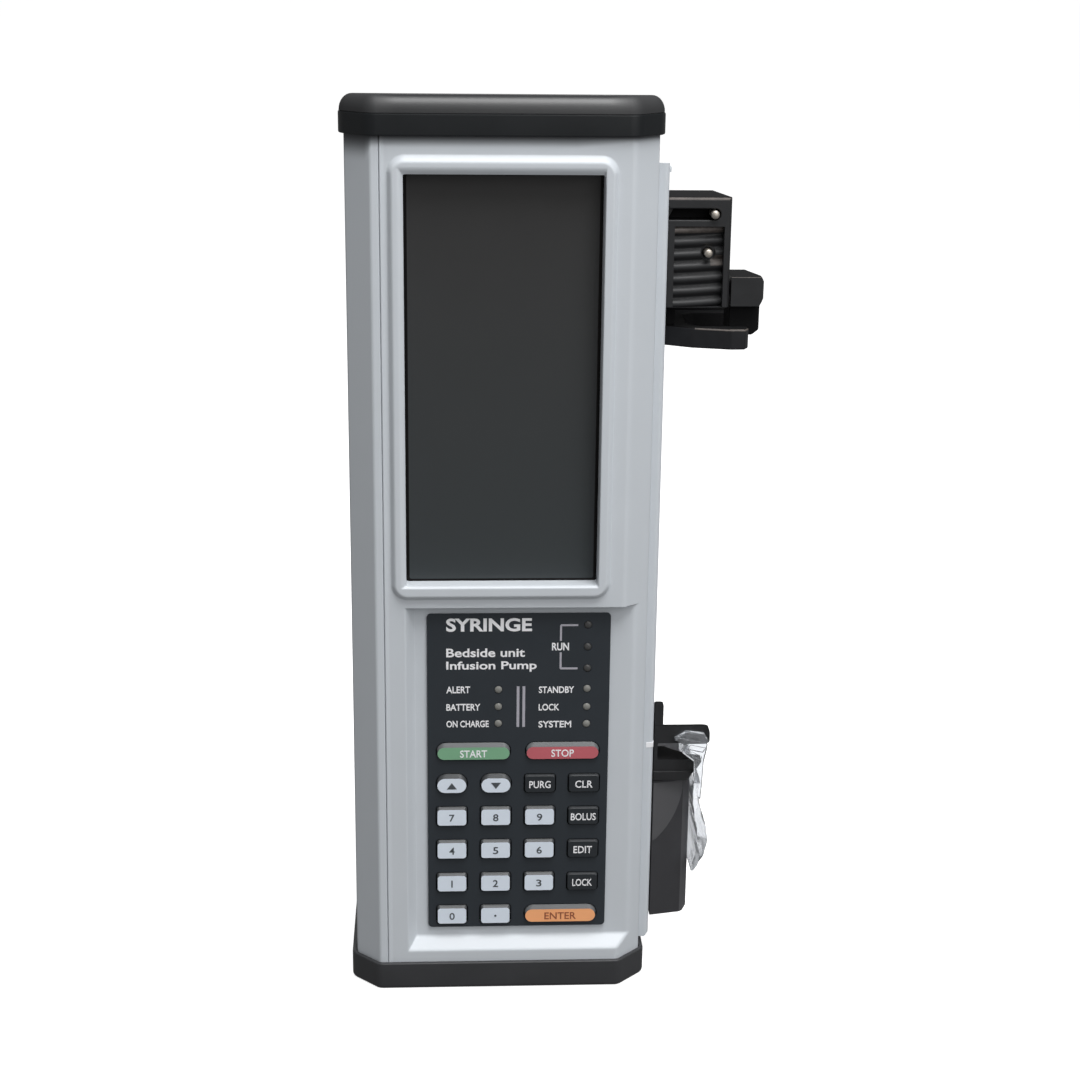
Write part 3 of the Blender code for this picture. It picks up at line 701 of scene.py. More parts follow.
def make_cup(name, node, out, stack, corner, look):
    """A cap or boot from its stack of (inset, z) plan outlines."""
    rings = []
    for inset, z in stack:
        ring = []
        rise = max(z - CREASE, 0.0)
        for x, d in fillet(case_corners(out - inset, corner), 0, 6):
            ring.append(point(x, d, z - rise * CAP_FALL * max(d - 5, 0) / SHOULDER[1]))
        rings.append(ring)
    obj = lofted(name, rings, lambda strip: int(stack[min(strip, len(stack) - 1)][1] > CREASE))
    dress(obj, f"{look} cap", node, sharp=50)


# ---- display ---------------------------------------------------
def make_pane():
    """The glass pane: a dark border with the display area inside it."""
    left, right, low, high = GLASS_EDGE
    view = (left + 0.9, right - 0.9, low + 0.6, high - 0.6)
    bevelled = PANE.face(-0.2)
    stages = [
        (PANE.far, PANE.face(), 0.8), (PANE.near + 0.2, PANE.face(), 0.8), (PANE.near, bevelled, 0.7),
        (PANE.near, view, 0.6),
    ]
    rings = [upright(rounded(*rect, radius, 3), depth) for depth, rect, radius in stages]
    obj = lofted("glass_pane", rings, lambda strip: int(strip == len(stages)))
    dress(obj, "border display", "lcd_window")


# ---- lettering -------------------------------------------------
def lettering(name, text, x, z, near, bold=0.012):
    """A raised print of text that fills the box x by z and stands just proud of depth near."""
    curve = bpy.data.curves.new(name, "FONT")
    curve.body = text
    curve.offset = bold
    curve.resolution_u = 4
    curve.extrude = 0.02
    flat = add_object(name, curve)
    mesh = evaluated_mesh(flat)
    bpy.data.objects.remove(flat, do_unlink=True)
    corners = [v.co for v in mesh.vertices]
    low = [min(c[i] for c in corners) for i in range(3)]
    high = [max(c[i] for c in corners) for i in range(3)]
    for vertex in mesh.vertices:
        u, v, w = [(vertex.co[i] - low[i]) / (high[i] - low[i]) for i in range(3)]
        vertex.co = point(x[0] + u * (x[1] - x[0]), near - PRINT_THICK * w, z[0] + v * (z[1] - z[0]))
    return add_object(name, mesh)


def merge(name, parts):
    """One object from several that don't need to be welded."""
    bm = bmesh.new()
    for part in parts:
        bm.from_mesh(part.data)
        bpy.data.objects.remove(part, do_unlink=True)
    bmesh.ops.remove_doubles(bm, verts=bm.verts, dist=1e-7)
    return new_object(name, bm)


# ---- keypad ----------------------------------------------------
LEGENDS = {
    "key_start": ("START", 8.0, "white_ink", "green", "pill"),
    "key_stop": ("STOP", 6.7, "white_ink", "red", "pill"),
    "key_enter": ("ENTER", 9.6, "brown_ink", "orange", "pill"),
    "key_up": ("", 0, "dark_ink", "light", "pill"),
    "key_down": ("", 0, "dark_ink", "light", "pill"),
    "key_purge": ("PURG", 6.4, "white_ink", "key_film", "block"),
    "key_clear": ("CLR", 5.2, "white_ink", "key_film", "block"),
    "key_bolus": ("BOLUS", 7.5, "white_ink", "key_film", "block"),
    "key_edit": ("EDIT", 5.6, "white_ink", "key_film", "block"),
    "key_lock": ("LOCK", 6.0, "white_ink", "key_film", "block"),
    "key_point": (".", 0.7, "dark_ink", "light", "block"),
}
for digit in range(10):
    LEGENDS[f"key_{digit}"] = (str(digit), 0.42 if digit == 1 else 1.6, "dark_ink", "light", "block")

LETTER_HEIGHT = 2.3


def key_outline(key, side, top, shape, corner=0.9):
    """An outline of a key, set in by side all round and by top at its upper edge."""
    rect = (key.left + side, key.right - side, key.low + side, key.high + KEY_STRIP - top)
    radius = (rect[3] - rect[2]) / 2 - 0.01 if shape == "pill" else corner
    return rounded(*rect, radius, 6)


def key_trim(face):
    return KEY_TRIM if face == "key_film" else 0.0


def make_key(node):
    text, width, ink, face, shape = LEGENDS[node]
    key = Span(node)
    strip = KEY_STRIP + (0.05 if shape == "pill" else -0.45)
    stages = [                                 # depth, inset all round, inset of the upper edge
        (key.far, 0.0, key_trim(face)), (PANEL.near + 0.1, 0.0, key_trim(face)),
        (key.near + 0.12, 0.16, strip - 0.18), (key.near, 0.3, strip), (key.near, 0.42, strip + 0.12),
    ]
    rings = [upright(key_outline(key, side, top, shape), depth) for depth, side, top in stages]
    obj = lofted(node + "_cap", rings, lambda strip: int(strip >= 4))
    # the upward slope in front of the panel takes a lighter film: a painted highlight along the key's top
    # edge
    slope = [side for side in obj.data.polygons if side.normal.z > 0.3 and side.material_index == 0]
    for side in slope:
        if side.center.y < (PANEL.near + FRONT_Y) * MM:
            side.material_index = 2
    rim = "key_bright_painted_highlight" if face in ("green", "red", "orange") else "key_painted_highlight"
    dress(obj, f"key_film {face} {rim}", node, sharp=30, body=node)
    if text:
        middle = key.z + (0.25 if shape == "block" else 0.0)
        half = 0.35 if text == "." else LETTER_HEIGHT / 2
        columns = (key.x - width / 2, key.x + width / 2)
        letters = lettering(node + "_legend", text, columns, (middle - half, middle + half), key.near)
        letters = merge(node + "_legend", [letters])
    else:
        tip = 1.0 if node == "key_up" else -1.0
        outline = [(key.x - 1.5, key.z - tip), (key.x + 1.5, key.z - tip), (key.x, key.z + tip)]
        letters = prism(node + "_legend", "front", outline, key.near - PRINT_THICK, key.near)
    dress(letters, ink, body=node)


def make_panel():
    outline = rounded(PANEL.left, PANEL.right + 0.35, PANEL.low, PANEL.high - 0.45, 1.2)
    obj = prism("panel_film", "front", outline, PANEL.near, PANEL.far)
    bevel(obj, 0.12, 2)
    gap = 0.25
    holes = []
    for node, (*_, face, shape) in LEGENDS.items():
        holes.append(key_outline(Span(node), -gap, key_trim(face) - gap, shape, 1.1))
    holes += [circle(x, z, LAMP_RADIUS + 0.1, 24) for x, z in lamp_places()]
    cut(obj, prisms("cut_panel", "front", holes, PANEL.near - 2, PANEL.far + 2))
    dress(obj, "film", "keypad_panel")


LAMP_RADIUS = 1.1
LAMP_COLUMNS = {"led_bar_left": (95.8, 90.4, 85.1), "led_bar_right": (115.8, 109.0, 102.3, 95.9, 90.2, 84.8)}


def lamp_places():
    return [(Span(node).x, z) for node, rows in LAMP_COLUMNS.items() for z in rows]


def make_lamps():
    """Domed lenses on their light bars."""
    foot = PANEL.near + 0.1
    for node, rows in LAMP_COLUMNS.items():
        bar = Span(node)
        bm = bmesh.new()
        loft(bm, [upright(rounded(*bar.face(), 0.6), depth) for depth in (bar.far, 6.3)])
        for z in rows:
            stages = domed(6.35, foot, LAMP_RADIUS, 0.45, (0.3, 0.6, 0.9, 1.2, 1.45))
            loft(bm, turned(bar.x, z, stages, 24), lambda strip, dim=int(z > 100): dim)
        dress(new_object(node + "_lenses", bm), "lamp lamp_dim", node)


def make_prints():
    """Plain lettering and rules on the panel."""
    near = PANEL.near
    labels = [
        ("SYRINGE", (-15.8, 9.2), (113.9, 118.0), 0.03),
        ("Bedside unit", (-15.8, 7.2), (106.0, 108.7), 0.02),
        ("Infusion Pump", (-15.8, 10.7), (101.4, 104.7), 0.02),
        ("ALERT", (-15.8, -8.8), (94.8, 96.9), 0.02),
        ("BATTERY", (-15.8, -5.8), (89.3, 91.4), 0.02),
        ("ON CHARGE", (-15.8, -3.3), (84.0, 86.1), 0.02),
        ("STANDBY", (11.4, 21.8), (94.6, 96.7), 0.02),
        ("LOCK", (11.4, 17.5), (89.1, 91.2), 0.02),
        ("SYSTEM", (11.4, 21.1), (83.7, 85.8), 0.02),
        ("RUN", (15.1, 20.1), (107.9, 110.3), 0.025),
    ]
    parts = [lettering("print", text, x, z, near, bold) for text, x, z, bold in labels]
    dress(merge("panel_lettering", parts), "white_ink")
    rule = 0.58                                # width of a stroke
    left, right, low, high = 17.4, 22.7, 102.0, 116.0
    strokes = []
    for z, foot in ((high, 110.9), (low, 107.3)):
        toward = math.copysign(rule, z - foot)
        strokes.append([
            (left, foot), (left + rule, foot), (left + rule, z - toward), (right, z - toward), (right, z),
            (left + 0.3, z), (left, z - 0.7 * toward),
        ])
    for x in (4.9, 6.6):
        strokes.append([(x, 84.0), (x + 0.8, 84.0), (x + 0.8, 96.8), (x, 96.8)])
    rules = prisms("panel_rules", "front", strokes, near - PRINT_THICK, near)
    dress(rules, "grey_ink")


# ---- track and syringe driver ----------------------------------
def make_track():
    left, right, near, far, low, high = TRACK.left, TRACK.right, TRACK.near, TRACK.far, TRACK.low, TRACK.high
    outline = fillet([(left, near, 0.2), (right, near, 1.4), (right, far, 1.4), (left, far, 0.2)], 0, 6)
    obj = prism("track_strip", "plan", outline, low, high)
    foot = [(left + 1.0, low - 1), (right + 1, low - 1), (right + 1, low + 2.4)]
    crown = [(near + 1.5, high + 1), (near + 1.5, high), (far + 1, high - 5.5), (far + 1, high + 1)]
    cut(
        obj,
        prism("cut_foot", "front", foot, near - SLICE, far + SLICE),
        prism("cut_crown", "side", crown, left - SLICE, right + SLICE),
        prism("cut_track", "side", rounded(*SLOT, 1.2), *TRACK_CUT),
        prism("cut_rod", "side", circle(ROD.depth, ROD.z, ROD_HOLE), *TRACK_CUT),
    )
    stop = [(right - 0.6, 245.0), (right + 0.5, 245.5), (right + 0.6, 246.8), (right - 0.6, 247.4)]
    join(obj, prism("join_stop", "front", stop, near + 1.6, near + 5.0))
    bevel(obj, 0.2, 2)
    dress(obj, "case", "track_cover")
    out, deep, start = 0.08, 0.25, right - 2.3     # a white mark wrapped round the strip's front edge
    band = [
        (start, near - out, 0), (right + out, near - out, 1.48), (right + out, near + 4, 0),
        (right - deep, near + 4, 0), (right - deep, near + deep, 1.15), (start, near + deep, 0),
    ]
    mark = prism("track_mark", "plan", fillet(band, 0, 6), 73.4, 75.0)
    dress(mark, "white_ink")


def make_pin(name, node, body):
    """A turned pin with a domed end."""
    pin = Span(node)
    stages = domed(pin.far, pin.near + 0.6, (pin.right - pin.left) / 2, 0.6, (0.25, 0.5, 0.8, 1.1, 1.4))
    dress(lofted(name, turned(pin.x, pin.z, stages, 28)), "pin", node, sharp=50, body=body)


def grip_depth(share, z, first, pitch):
    """How far the grip lies behind the head's face: ribs with narrow grooves, falling back to the right."""
    sink, fall, deep, narrow = 0.2, 1.9, 1.2, 1.5
    groove = 0.5 + 0.5 * math.cos(math.tau * (z - first) / pitch)
    return sink + fall * share ** 2 + deep * groove ** narrow


def make_driver_head():
    head, slot_pin, lever_pin = Span("driver_head"), Span("release_pin"), Span("catch_pin")
    face, back = head.near, head.far
    outline = [
        (head.left, face), (head.right - 0.8, face), (head.right, face + 1.4), (head.right - 3.4, back),
        (head.left, back),
    ]
    obj = prism("head_block", "plan", outline, head.low, head.high)
    wedge = [(face - 1, head.high + 1), (face - 1, head.high - 1.6), (face + 1.6, head.high + 1)]
    slot = (head.left - 3, slot_pin.x + 1.65, slot_pin.z - 1.6, slot_pin.z + 1.6)
    cut(
        obj,
        prism("cut_top_edge", "side", wedge, head.left - SLICE, head.right + SLICE),
        prism("cut_pin_slot", "front", rounded(*slot, 1.5), face - 2, face + 5),
        block("cut_lever_pocket", (54, 70), (21.6, 27.4), (208.2, 228.3)),
    )
    bevel(obj, 0.35, 3)
    left, right, low, high = 49.1, 63.3, 206.9, 229.9     # the grip's place on the head's face
    pitch, rise, columns, rows = 3.5, 0.6, 12, 92
    rings = []
    for k in range(columns + 1):
        share = k / columns
        ring = [(face - 2, low), (face - 2, high)]
        for i in range(rows + 1):
            z = high - (high - low) * i / rows
            ring.append((face + grip_depth(share, z - rise * share, high - 3.05, pitch), z))
        rings.append([point(left + (right - left) * share, d, z) for d, z in ring])
    cut(obj, lofted("cut_grip", rings))
    cut(
        obj,
        prism("cut_pin_dish", "front", circle(lever_pin.x, lever_pin.z, 2.2), face - 2, face + 2.6),
        prism("cut_pin_bore", "front", circle(lever_pin.x, lever_pin.z, 1.5), face - 2, 30.5),
    )

    def wear(normal, x, depth, z):
        """A darker matte on top and in the slot, a painted shade; worn along the top edge and on two patches
        of the grip.
        """
        sunk = depth - face
        if (normal.z > 0.85 and z > head.high - 1) or (sunk > 0.6 and slot[2] - 0.2 < z < slot[3] + 0.2):
            return 2
        top_edge = normal.z > 0.3 and normal.y < -0.4 and z > head.high - 2.5
        patch = 228.0 < z < high - 0.05 or (x > 60.2 and 218.6 < z < 221.6)
        if top_edge or (0.15 < sunk < 3.5 and normal.y < -0.2 and patch):
            return 1

    paint(obj, wear)
    dress(obj, "black worn matte", "driver_head", sharp=45, body="carriage")
    make_pin("lever_pin", "catch_pin", "carriage")
    make_pin("slot_pin", "release_pin", "release_pin")

    reach = slot_pin.left - 10.1 - 0.3         # clear of the pin at the end of its travel
    step = [
        (head.left - 1, slot[2] - 1), (reach - 2.2, slot[2] - 1), (reach, slot[3]), (head.left - 1, slot[3]),
    ]
    step = prism("slot_step", "front", step, face + 1.6, face + 4.9)
    bevel(step, 0.3, 2)
    dress(step, "black", body="carriage")


def make_catch():
    catch, pin = Span("plunger_catch"), Span("catch_pin")
    left, right, near, far, low = 65.9, catch.right, catch.near, catch.far, catch.low
    knob = [(left, near), (right - 0.5, near), (right, near + 0.9), (right - 3.7, far), (left, far)]
    obj = prism("catch_knob", "plan", knob, 207.0, 215.4)
    side = [
        (right + 1, 206), (right + 1, 209.0), (right - 0.2, 209.0), (right - 1.3, 206.9), (right - 1.3, 206),
    ]
    shoulder = [(right + 1, 216), (right + 1, 214.2), (right - 0.1, 214.2), (right - 1.0, 216)]
    top = [(near - 1, 216), (near - 1, 214.6), (near + 1.0, 216)]
    cut(
        obj,
        prism("cut_side", "front", side, near - 2, far + 2),
        prism("cut_shoulder", "front", shoulder, near - 2, far + 2),
        prism("cut_top", "side", top, left - SLICE, right + SLICE),
    )
    bevel(obj, 0.35, 3)
    leg = prism("leg", "plan", [(66.0, 20), (74.5, 20), (74.9, 20.6), (71.0, 31), (66.0, 31)], low, 208.2)
    toe = [(76, low - 1), (76, low + 1.6), (74.9, low + 1.6), (72.7, low - 0.1), (72.7, low - 1)]
    cut(leg, prism("cut_toe", "front", toe, 15, 35))
    bevel(leg, 0.35, 3)
    arm = (pin.x - 2.6, pin.x + 2.6)
    crown = pin.z + 3.4
    bar = [(arm[0], 209.5), (67.0, 209.5), (67.0, 213.5), (arm[1], 213.5), (arm[1], crown), (arm[0], crown)]
    join(obj, leg, prism("link", "front", fillet(bar, 0.9), 22.0, 27.0))
    cut(obj, prism("cut_link_bore", "front", circle(pin.x, pin.z, 1.5), 20, 30))

    # worn on the knob's front top edge; the darker matte on its top and on its foot is a painted shade
    def wear(normal, x, depth, z):
        if normal.z > 0.25 and z > 213.8:
            return 1 if normal.y < -0.3 else 2
        return 2 if z < 206.8 else None

    paint(obj, wear)
    dress(obj, "black worn matte", "plunger_catch", sharp=45, body="plunger_catch")


def make_pusher():
    plate = Span("pusher_plate")
    left, end, far = plate.left, 69.5, plate.far
    outline = [
        (left, 21, 0), (55, 16.5, 6), (66, 13.5, 3), (70, 13.7), (71.2, 16), (71.2, 19.5, 1.0),
        (58, 19.5, 2.0), (54.5, 22.5, 2.0), (54.5, 38.5, 2.0), (58, 42, 2.0), (end, 42, 1.2),
        (end, far, 1.2), (left, far, 0),
    ]
    obj = prism("pusher_moulding", "plan", fillet(outline, 0.8), plate.low, 200.9)
    bevel(obj, 0.5, 3)
    web = block("web", (left, 50.5), (22, 33), (200, plate.high))
    lip = block("back_lip", (left, end - 0.3), (44.8, far - 0.3), (200, plate.high))
    bevel(lip, 0.3, 2)
    join(obj, web, lip)

    # worn on the top front edge; the darker matte on the upward faces and on the back part is a painted shade
    def wear(normal, x, depth, z):
        if normal.z > 0.25 and normal.y < -0.25 and x > 57 and depth < 20:
            return 1
        return 2 if normal.z > 0.5 or depth > 20 else None

    paint(obj, wear)
    dress(obj, "pusher worn matte", "pusher_plate", sharp=45, body="carriage")


# ---- barrel cradle and clamp -----------------------------------
SEAT = circle(63.5, 31.0, 14.5, 72)            # plan of the barrel's seat, in the cradle and the jaws


def make_cradle():
    cradle = Span("barrel_cradle")
    left, right, near, far = cradle.left, cradle.right, cradle.near, cradle.far
    fold, fall = right - 2.2, 2.0              # the face falls back to the right as far as a fold
    outline = [(left, near), (fold, near + fall), (right, near + 3.8), (right, far), (left, far)]
    obj = prism("cradle_moulding", "plan", outline, cradle.low, cradle.high)
    foot = cradle.low
    toe = [(right - 2.0, foot - 1), (right + 1, foot - 1), (right + 1, foot + 1.5), (right, foot + 1.5)]
    cut(obj, prism("cut_toe", "front", toe, near - 2, far + 2))
    bevel(obj, 0.3, 3)
    cut(
        obj,
        prism("cut_seat", "plan", SEAT, 10, 65),
        prism("cut_rod", "side", circle(ROD.depth, ROD.z, ROD_HOLE), 45, 62),
    )
    # the right-facing bevel takes the paler black, a painted light
    paint(obj, lambda normal, x, depth, z: 1 if normal.x > 0.3 and normal.y < -0.3 else None)
    dress(obj, "cradle cradle_pad", "barrel_cradle")

    # the inlay on the cradle's face, with its lower edge on an arc
    edge, start = fold - 0.15, math.radians(8)
    pad = [(left + 0.2, cradle.high - 0.5), (edge, cradle.high - 0.5)]
    for i in range(15):
        a = math.radians(8 + 52 * i / 14)
        x = edge - 24.0 * (math.cos(start) - math.cos(a))
        pad.append((x, 58.5 - 26.0 * (math.sin(a) - math.sin(start))))
    pad = [(x, z) for x, z in pad if x > left + 0.19]
    pad.append((left + 0.2, pad[-1][1] - 0.5))
    inlay = prism("cradle_inlay", "front", pad, near - 0.14, near + 0.2)
    slope = fall / (fold - left)
    for vertex in inlay.data.vertices:
        vertex.co.y += (vertex.co.x - left * MM) * slope
    dress(inlay, "cradle_pad")


def make_clip():
    """The flange jaws above the cradle, with a rim below them and a fin above."""
    clip = Span("flange_clip")
    left, right, low, near = clip.left, clip.right, clip.low, clip.near
    jaws = [
        (left, low, 0), (57.6, low, 0.5), (61.6, 68.4, 0.6), (61.6, 69, 0.2), (48.2, 69, 0.4),
        (48.2, 74.2, 0.4), (right, 74.2, 0.6), (right, 80, 2.6), (left, 80, 0),
    ]
    obj = prism("clip_moulding", "front", fillet(jaws, 0.5), near, clip.far)
    fall = [(near + 0.9, 82), (near + 0.9, 80), (25, 73.2), (25, 82)]
    cut(obj, prism("cut_seat", "plan", SEAT, 60, 82), prism("cut_fall", "side", fall, left - SLICE, 66))
    bevel(obj, 0.3, 2)
    rim = fillet([(left, 62.3, 0), (57.4, 62.3, 0.5), (59.2, 65.2, 0.5), (left, 65.2, 0)], 0.4)
    rim = prism("rim", "front", rim, near - 0.7, near + 1)
    bevel(rim, 0.3, 3)
    fin = fillet([(left, 77, 0), (49.7, 77, 0), (49.7, 87.5, 1.2), (left, 87.5, 0.4)], 1.0)
    fin = prism("fin", "front", fin, near + 0.06, 19)
    back = [(near + 0.9, 88), (near + 0.9, 87.5), (20, 83.6), (20, 88)]
    cut(fin, prism("cut_fin", "side", back, left - SLICE, 52))
    join(obj, rim, fin)
    # the upward faces above the rim take the darker matte, a painted shade
    paint(obj, lambda normal, x, depth, z: 1 if z > 65.5 and normal.z > 0.2 else None)
    dress(obj, "black matte", "flange_clip", sharp=45)


GATE_EDGE = (                              # (height, place across) up the clear gate's outer side
    (32.9, 60.4), (34.8, 61.7), (38.9, 63.5), (43.0, 64.2), (46.5, 63.9), (52.0, 62.2), (57.5, 61.0),
    (61.4, 61.6),
)


def gate_edge(z):
    """Outer side of the clear gate at a height, eased between its stations."""
    for (z0, x0), (z1, x1) in zip(GATE_EDGE, GATE_EDGE[1:]):
        if z <= z1:
            share = max(0.0, (z - z0) / (z1 - z0))
            return x0 + (x1 - x0) * (1 - math.cos(math.pi * share)) / 2
    return GATE_EDGE[-1][1]


def make_clamp():
    """The clear clamp: a bowed, slightly wavy gate with a faceted thumb ear in front of the jaws."""
    clamp = Span("barrel_clamp")
    foot, top = GATE_EDGE[0][0], GATE_EDGE[-1][0]
    start = clamp.near + 0.2
    rows, columns = 30, 16
    outer, inner = [], []
    for i in range(rows + 1):
        z = foot + (top - foot) * i / rows
        bow = gate_edge(z)
        row_out, row_in = [], []
        for j in range(columns + 1):
            s = j / columns
            depth = start + (clamp.far - clamp.near - 0.2) * s
            wave = 0.10 * math.sin(5.0 * s + 0.33 * z) + 0.05 * math.sin(13.0 * s - 0.25 * z)
            lip = 0.35 * (1 - min(1.0, 6 * s))
            row_out.append((bow + wave - lip, depth, z))
            row_in.append((59.15 + max(bow - 61.3, 0) * 0.6 + 0.5 * abs(wave), depth, z))
        outer.append(row_out)
        inner.append(row_in)
    obj = slab("clear_clamp", outer, inner)
    ear = [
        (59.3, 57.0), (61.4, 57.0), (61.8, 63.0), (62.0, 69.0), (62.8, 73.0), (63.2, 76.2), (61.9, 77.9),
        (56.7, 78.6), (53.1, 76.4), (57.0, 74.2), (55.4, 72.2), (59.4, 69.0),
    ]
    lug = prism("ear", "front", ear, clamp.near, 12.3)
    for facet in (
        [(52.0, 77.4), (64.5, 74.6), (64.5, 75.3), (52.0, 78.3)],
        [(56.2, 73.4), (61.6, 72.2), (62.6, 73.6), (58.0, 74.6)],
        [(57.6, 71.6), (61.2, 69.6), (61.4, 70.8), (58.4, 72.4)],
    ):
        cut(lug, prism("cut_facet", "front", facet, 8, clamp.near + 0.7))
    bevel(lug, 0.25, 2)
    join(obj, lug)
    cut(obj, prism("cut_rod", "side", circle(ROD.depth, ROD.z, ROD_HOLE - 0.1), 55, 61.2))
    dress(obj, "clear", "barrel_clamp", sharp=40, body="barrel_clamp")


# ---- drive seen through the slot -------------------------------
def make_lead_screw():
    """The lead screw with its rolled two-start thread."""
    screw = Span("lead_screw")
    depth, lead, starts = 0.55, 4.0, 2
    core = (screw.right - screw.left) / 2 - depth
    shank, low, high, count = 2.0, 19.5, 242.6, 20
    steps = int((high - low) / 0.4)
    stages = [(shank, screw.low), (shank, low - 0.1), (core, low)]
    stages += [(None, low + (high - low) * i / steps) for i in range(1, steps)]
    stages += [(core, high), (shank, high + 0.1), (shank, screw.high)]

    def thread(z, a):
        phase = (z / lead * starts - a / math.tau * starts) % 1.0
        return core + depth * min(max(3.4 * (0.36 - abs(phase - 0.5)), 0.0), 1.0)

    rings = []
    for fixed, z in stages:
        ring = []
        for i in range(count):
            a = math.tau * i / count
            r = fixed or thread(z, a)
            ring.append(point(screw.x + r * math.cos(a), screw.depth + r * math.sin(a), z))
        rings.append(ring)
    dress(lofted("threaded_screw", rings), "steel", "lead_screw", sharp=60, body="lead_screw")


# ---- back ------------------------------------------------------
def make_back():
    plate = Span("rear_mount_plate")
    obj = prism("mount_plate", "front", rounded(*plate.face(), 4), plate.near, plate.far)
    bevel(obj, 0.5, 3, 60)
    holes = [(x, z) for x in (plate.left + 7, plate.right - 7) for z in (plate.low + 8, plate.high - 8)]
    cut(obj, prisms("cut_holes", "front", [circle(x, z, 2.2) for x, z in holes], *BACK_CUT))
    sinks = bmesh.new()
    for x, z in holes:
        loft(sinks, turned(x, z, ((plate.far - 1.4, 2.1), (plate.far + 0.2, 4.0))))
    cut(obj, new_object("cut_sinks", sinks))
    dress(obj, "aluminium", "rear_mount_plate")

    cover = Span("battery_cover")
    obj = prism("battery_door", "front", rounded(*cover.face(), 3), cover.near, cover.far)
    bevel(obj, 0.4, 3, 60)
    grooves = [rounded(-12, 12, z, z + 1.4, 0.65) for z in (58.0, 60.8, 63.6)]
    cut(
        obj,
        prisms("cut_cover_holes", "front", [circle(s.x, s.z, SCREW_HOLE) for s in SCREWS], *BACK_CUT),
        prisms("cut_grooves", "front", grooves, cover.far - 0.6, BACK_CUT[1]),
    )
    dress(obj, "case", "battery_cover")


def make_cross_screw(node):
    screw = Span(node)
    head, shank, end = (screw.right - screw.left) / 2, 1.5, screw.far
    under = end - 1.2
    stages = [(screw.near, shank), (under, shank), (under, head), (end - 0.5, head), (end, head - 1.0)]
    obj = lofted(node + "_head", turned(screw.x, screw.z, stages))
    for x, z in ((0.35, 1.5), (1.5, 0.35)):
        columns, rows = (screw.x - x, screw.x + x), (screw.z - z, screw.z + z)
        cut(obj, block("cut_cross", columns, (end - 0.9, end + SLICE), rows))
    dress(obj, "steel", node)


def make_inlet():
    """A two-pin power inlet."""
    inlet = Span("power_inlet")
    obj = prism("inlet_shell", "front", rounded(*inlet.face(), 1.2), inlet.near, inlet.far)
    bevel(obj, 0.3, 2, 60)
    pins = (inlet.z - 2.6, inlet.z + 2.6)
    for z in pins:
        cut(obj, prism("cut_mouth", "front", circle(inlet.x, z, 3.2), inlet.near + 1.5, inlet.far + 1))
    dress(obj, "inner_black", "power_inlet")
    bm = bmesh.new()
    for z in pins:
        stages = [(inlet.near + 1.2, 0.9), (inlet.far - 2.0, 0.9), (inlet.far - 1.6, 0.5)]
        loft(bm, turned(inlet.x, z, stages, 20))
    dress(new_object("inlet_pins", bm), "steel")


# ---- CAD nodes kept as they are --------------------------------
KEPT = {
    "lcd_module": "inner_black", "keypad_mat": "rubber", "key_board": "board", "main_board": "board",
    "battery_pack": "battery", "sounder": "inner_black", "upper_bearing_plate": "aluminium",
    "lower_bearing_plate": "aluminium", "guide_rod": "steel", "drive_motor": "steel", "motor_gear": "steel",
    "screw_gear": "brass", "half_nut": "brass", "carriage": "aluminium", "clamp_rod": "steel",
}


def dress_kept():
    for node, mat in KEPT.items():
        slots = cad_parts[node].data.materials
        slots.clear()
        slots.append(MATS[mat])


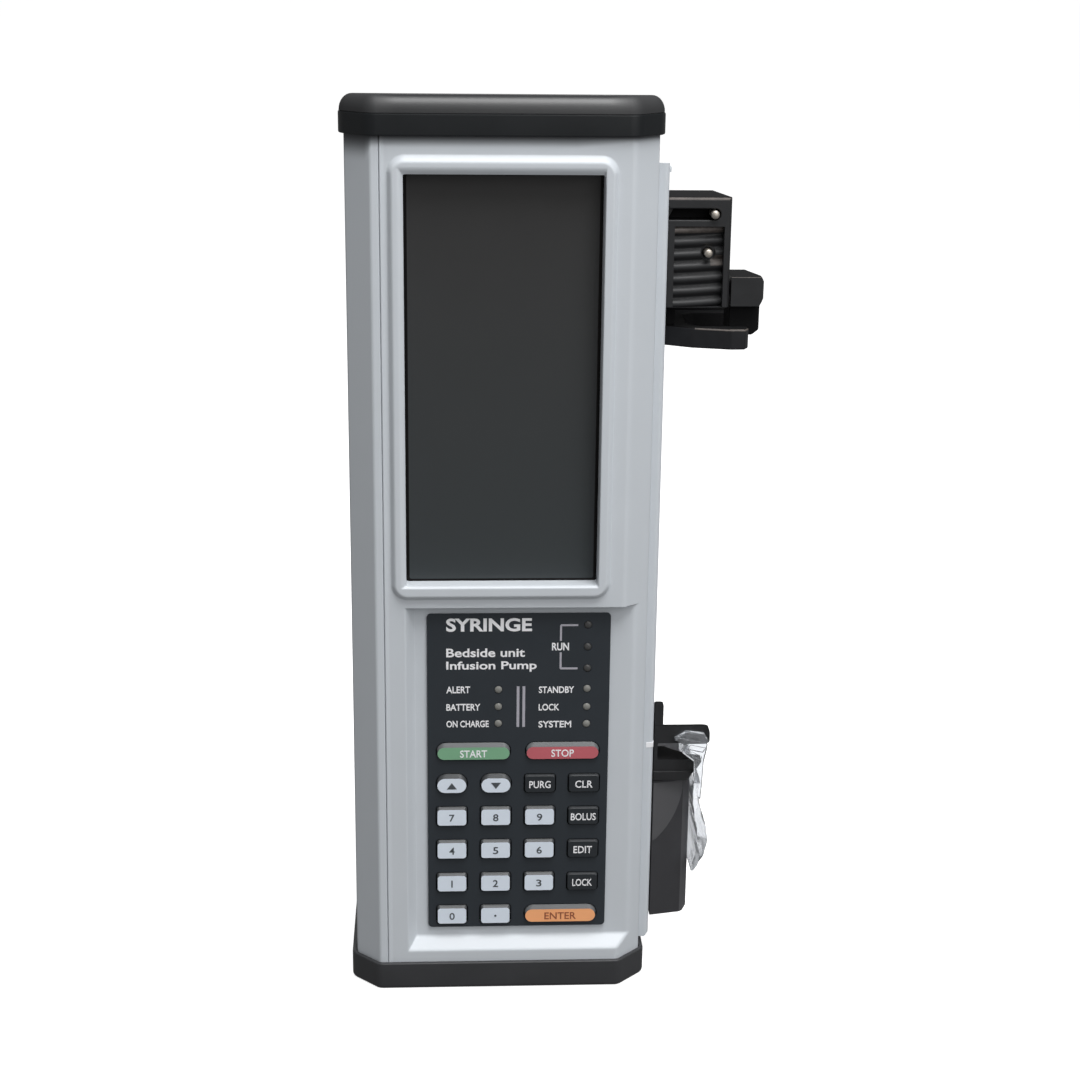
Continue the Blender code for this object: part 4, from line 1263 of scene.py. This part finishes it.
# ---- stage -----------------------------------------------------
def make_stage():
    size = 30.0                                # half the floor's width, in metres
    bm = bmesh.new()
    corners = ((-size, -size, 0), (size, -size, 0), (size, size, 0), (-size, size, 0))
    bm.faces.new([bm.verts.new(p) for p in corners])
    floor = new_object("studio_floor", bm)
    if floor.data.polygons[0].normal.z < 0:
        floor.data.flip_normals()
    mat = bpy.data.materials.new("studio_floor_white")
    mat.use_nodes = True
    for socket, value in (
        ("Base Color", (0.7, 0.7, 0.7, 1)), ("Roughness", 0.9), ("Specular IOR Level", 0.0),
        ("Emission Color", (1, 1, 1, 1)), ("Emission Strength", 0.85),
    ):
        mat.node_tree.nodes["Principled BSDF"].inputs[socket].default_value = value
    floor.data.materials.append(mat)
    floor.visible_diffuse = False
    floor.visible_glossy = False

    scene = bpy.context.scene
    scene.view_settings.view_transform = "Standard"
    scene.world = bpy.data.worlds.new("studio")
    scene.world.use_nodes = True
    tree = scene.world.node_tree
    back = tree.nodes["Background"]
    back.inputs["Color"].default_value = (1, 1, 1, 1)
    seen = add_node(tree, "ShaderNodeLightPath", {}, "Is Camera Ray")
    tree.links.new(map_range(tree, seen, (0.0, 1.0), (0.22, 1.0)), back.inputs["Strength"])

    softbox("key_box", (0.15, -0.30, 0.94), 1.3, 0.8, 1.17)
    softbox("fill_box", (0.40, -0.80, 0.45), 1.3, 0.9, 0.36)
    card = softbox("back_card", (0.0, 1.0, 0.10), 1.6, 1.2, 0.10)
    card.visible_diffuse = False
    card.visible_camera = False


def softbox(name, toward, reach, width, level):
    """A square area light that gives a facing surface the wanted light level."""
    toward = Vector(toward).normalized()
    light = bpy.data.lights.new(name, "AREA")
    light.shape = "SQUARE"
    light.size = width
    light.energy = level * math.pi * math.pi * reach * reach
    lamp = add_object(name, light)
    lamp.location = (CAD_BOUNDS[0] + CAD_BOUNDS[1]) / 2 + toward * reach
    lamp.rotation_euler = toward.to_track_quat("Z", "Y").to_euler()
    return lamp


def make_camera():
    azimuth, elevation, roll = math.radians(-3.08), math.radians(16.79), math.radians(0.64)
    away, lens, sensor = 0.57218, 66.67, 36.0  # metres, then millimetres
    aim = point(11.1, 0, 142.53)
    level = math.cos(elevation)
    forward = Vector((-math.sin(azimuth) * level, math.cos(azimuth) * level, -math.sin(elevation)))
    right = Vector((math.cos(azimuth), math.sin(azimuth), 0))
    turn = Matrix((right, right.cross(forward), -forward)).transposed().to_4x4()
    data = bpy.data.cameras.new("camera")
    data.sensor_width = sensor
    data.lens = lens
    data.clip_start = 0.01
    camera = add_object("camera", data)
    camera.matrix_world = Matrix.Translation(aim - forward * away) @ turn @ Matrix.Rotation(roll, 4, "Z")
    bpy.context.scene.camera = camera


make_front_moulding()
make_rear_shell()
make_cap()
make_boot()
make_pane()
make_panel()
make_lamps()
make_prints()
for node in LEGENDS:
    make_key(node)
make_track()
make_driver_head()
make_catch()
make_pusher()
make_cradle()
make_clip()
make_clamp()
make_lead_screw()
make_back()
make_cross_screw("cover_screw_left")
make_cross_screw("cover_screw_right")
make_inlet()
dress_kept()
make_stage()
make_camera()
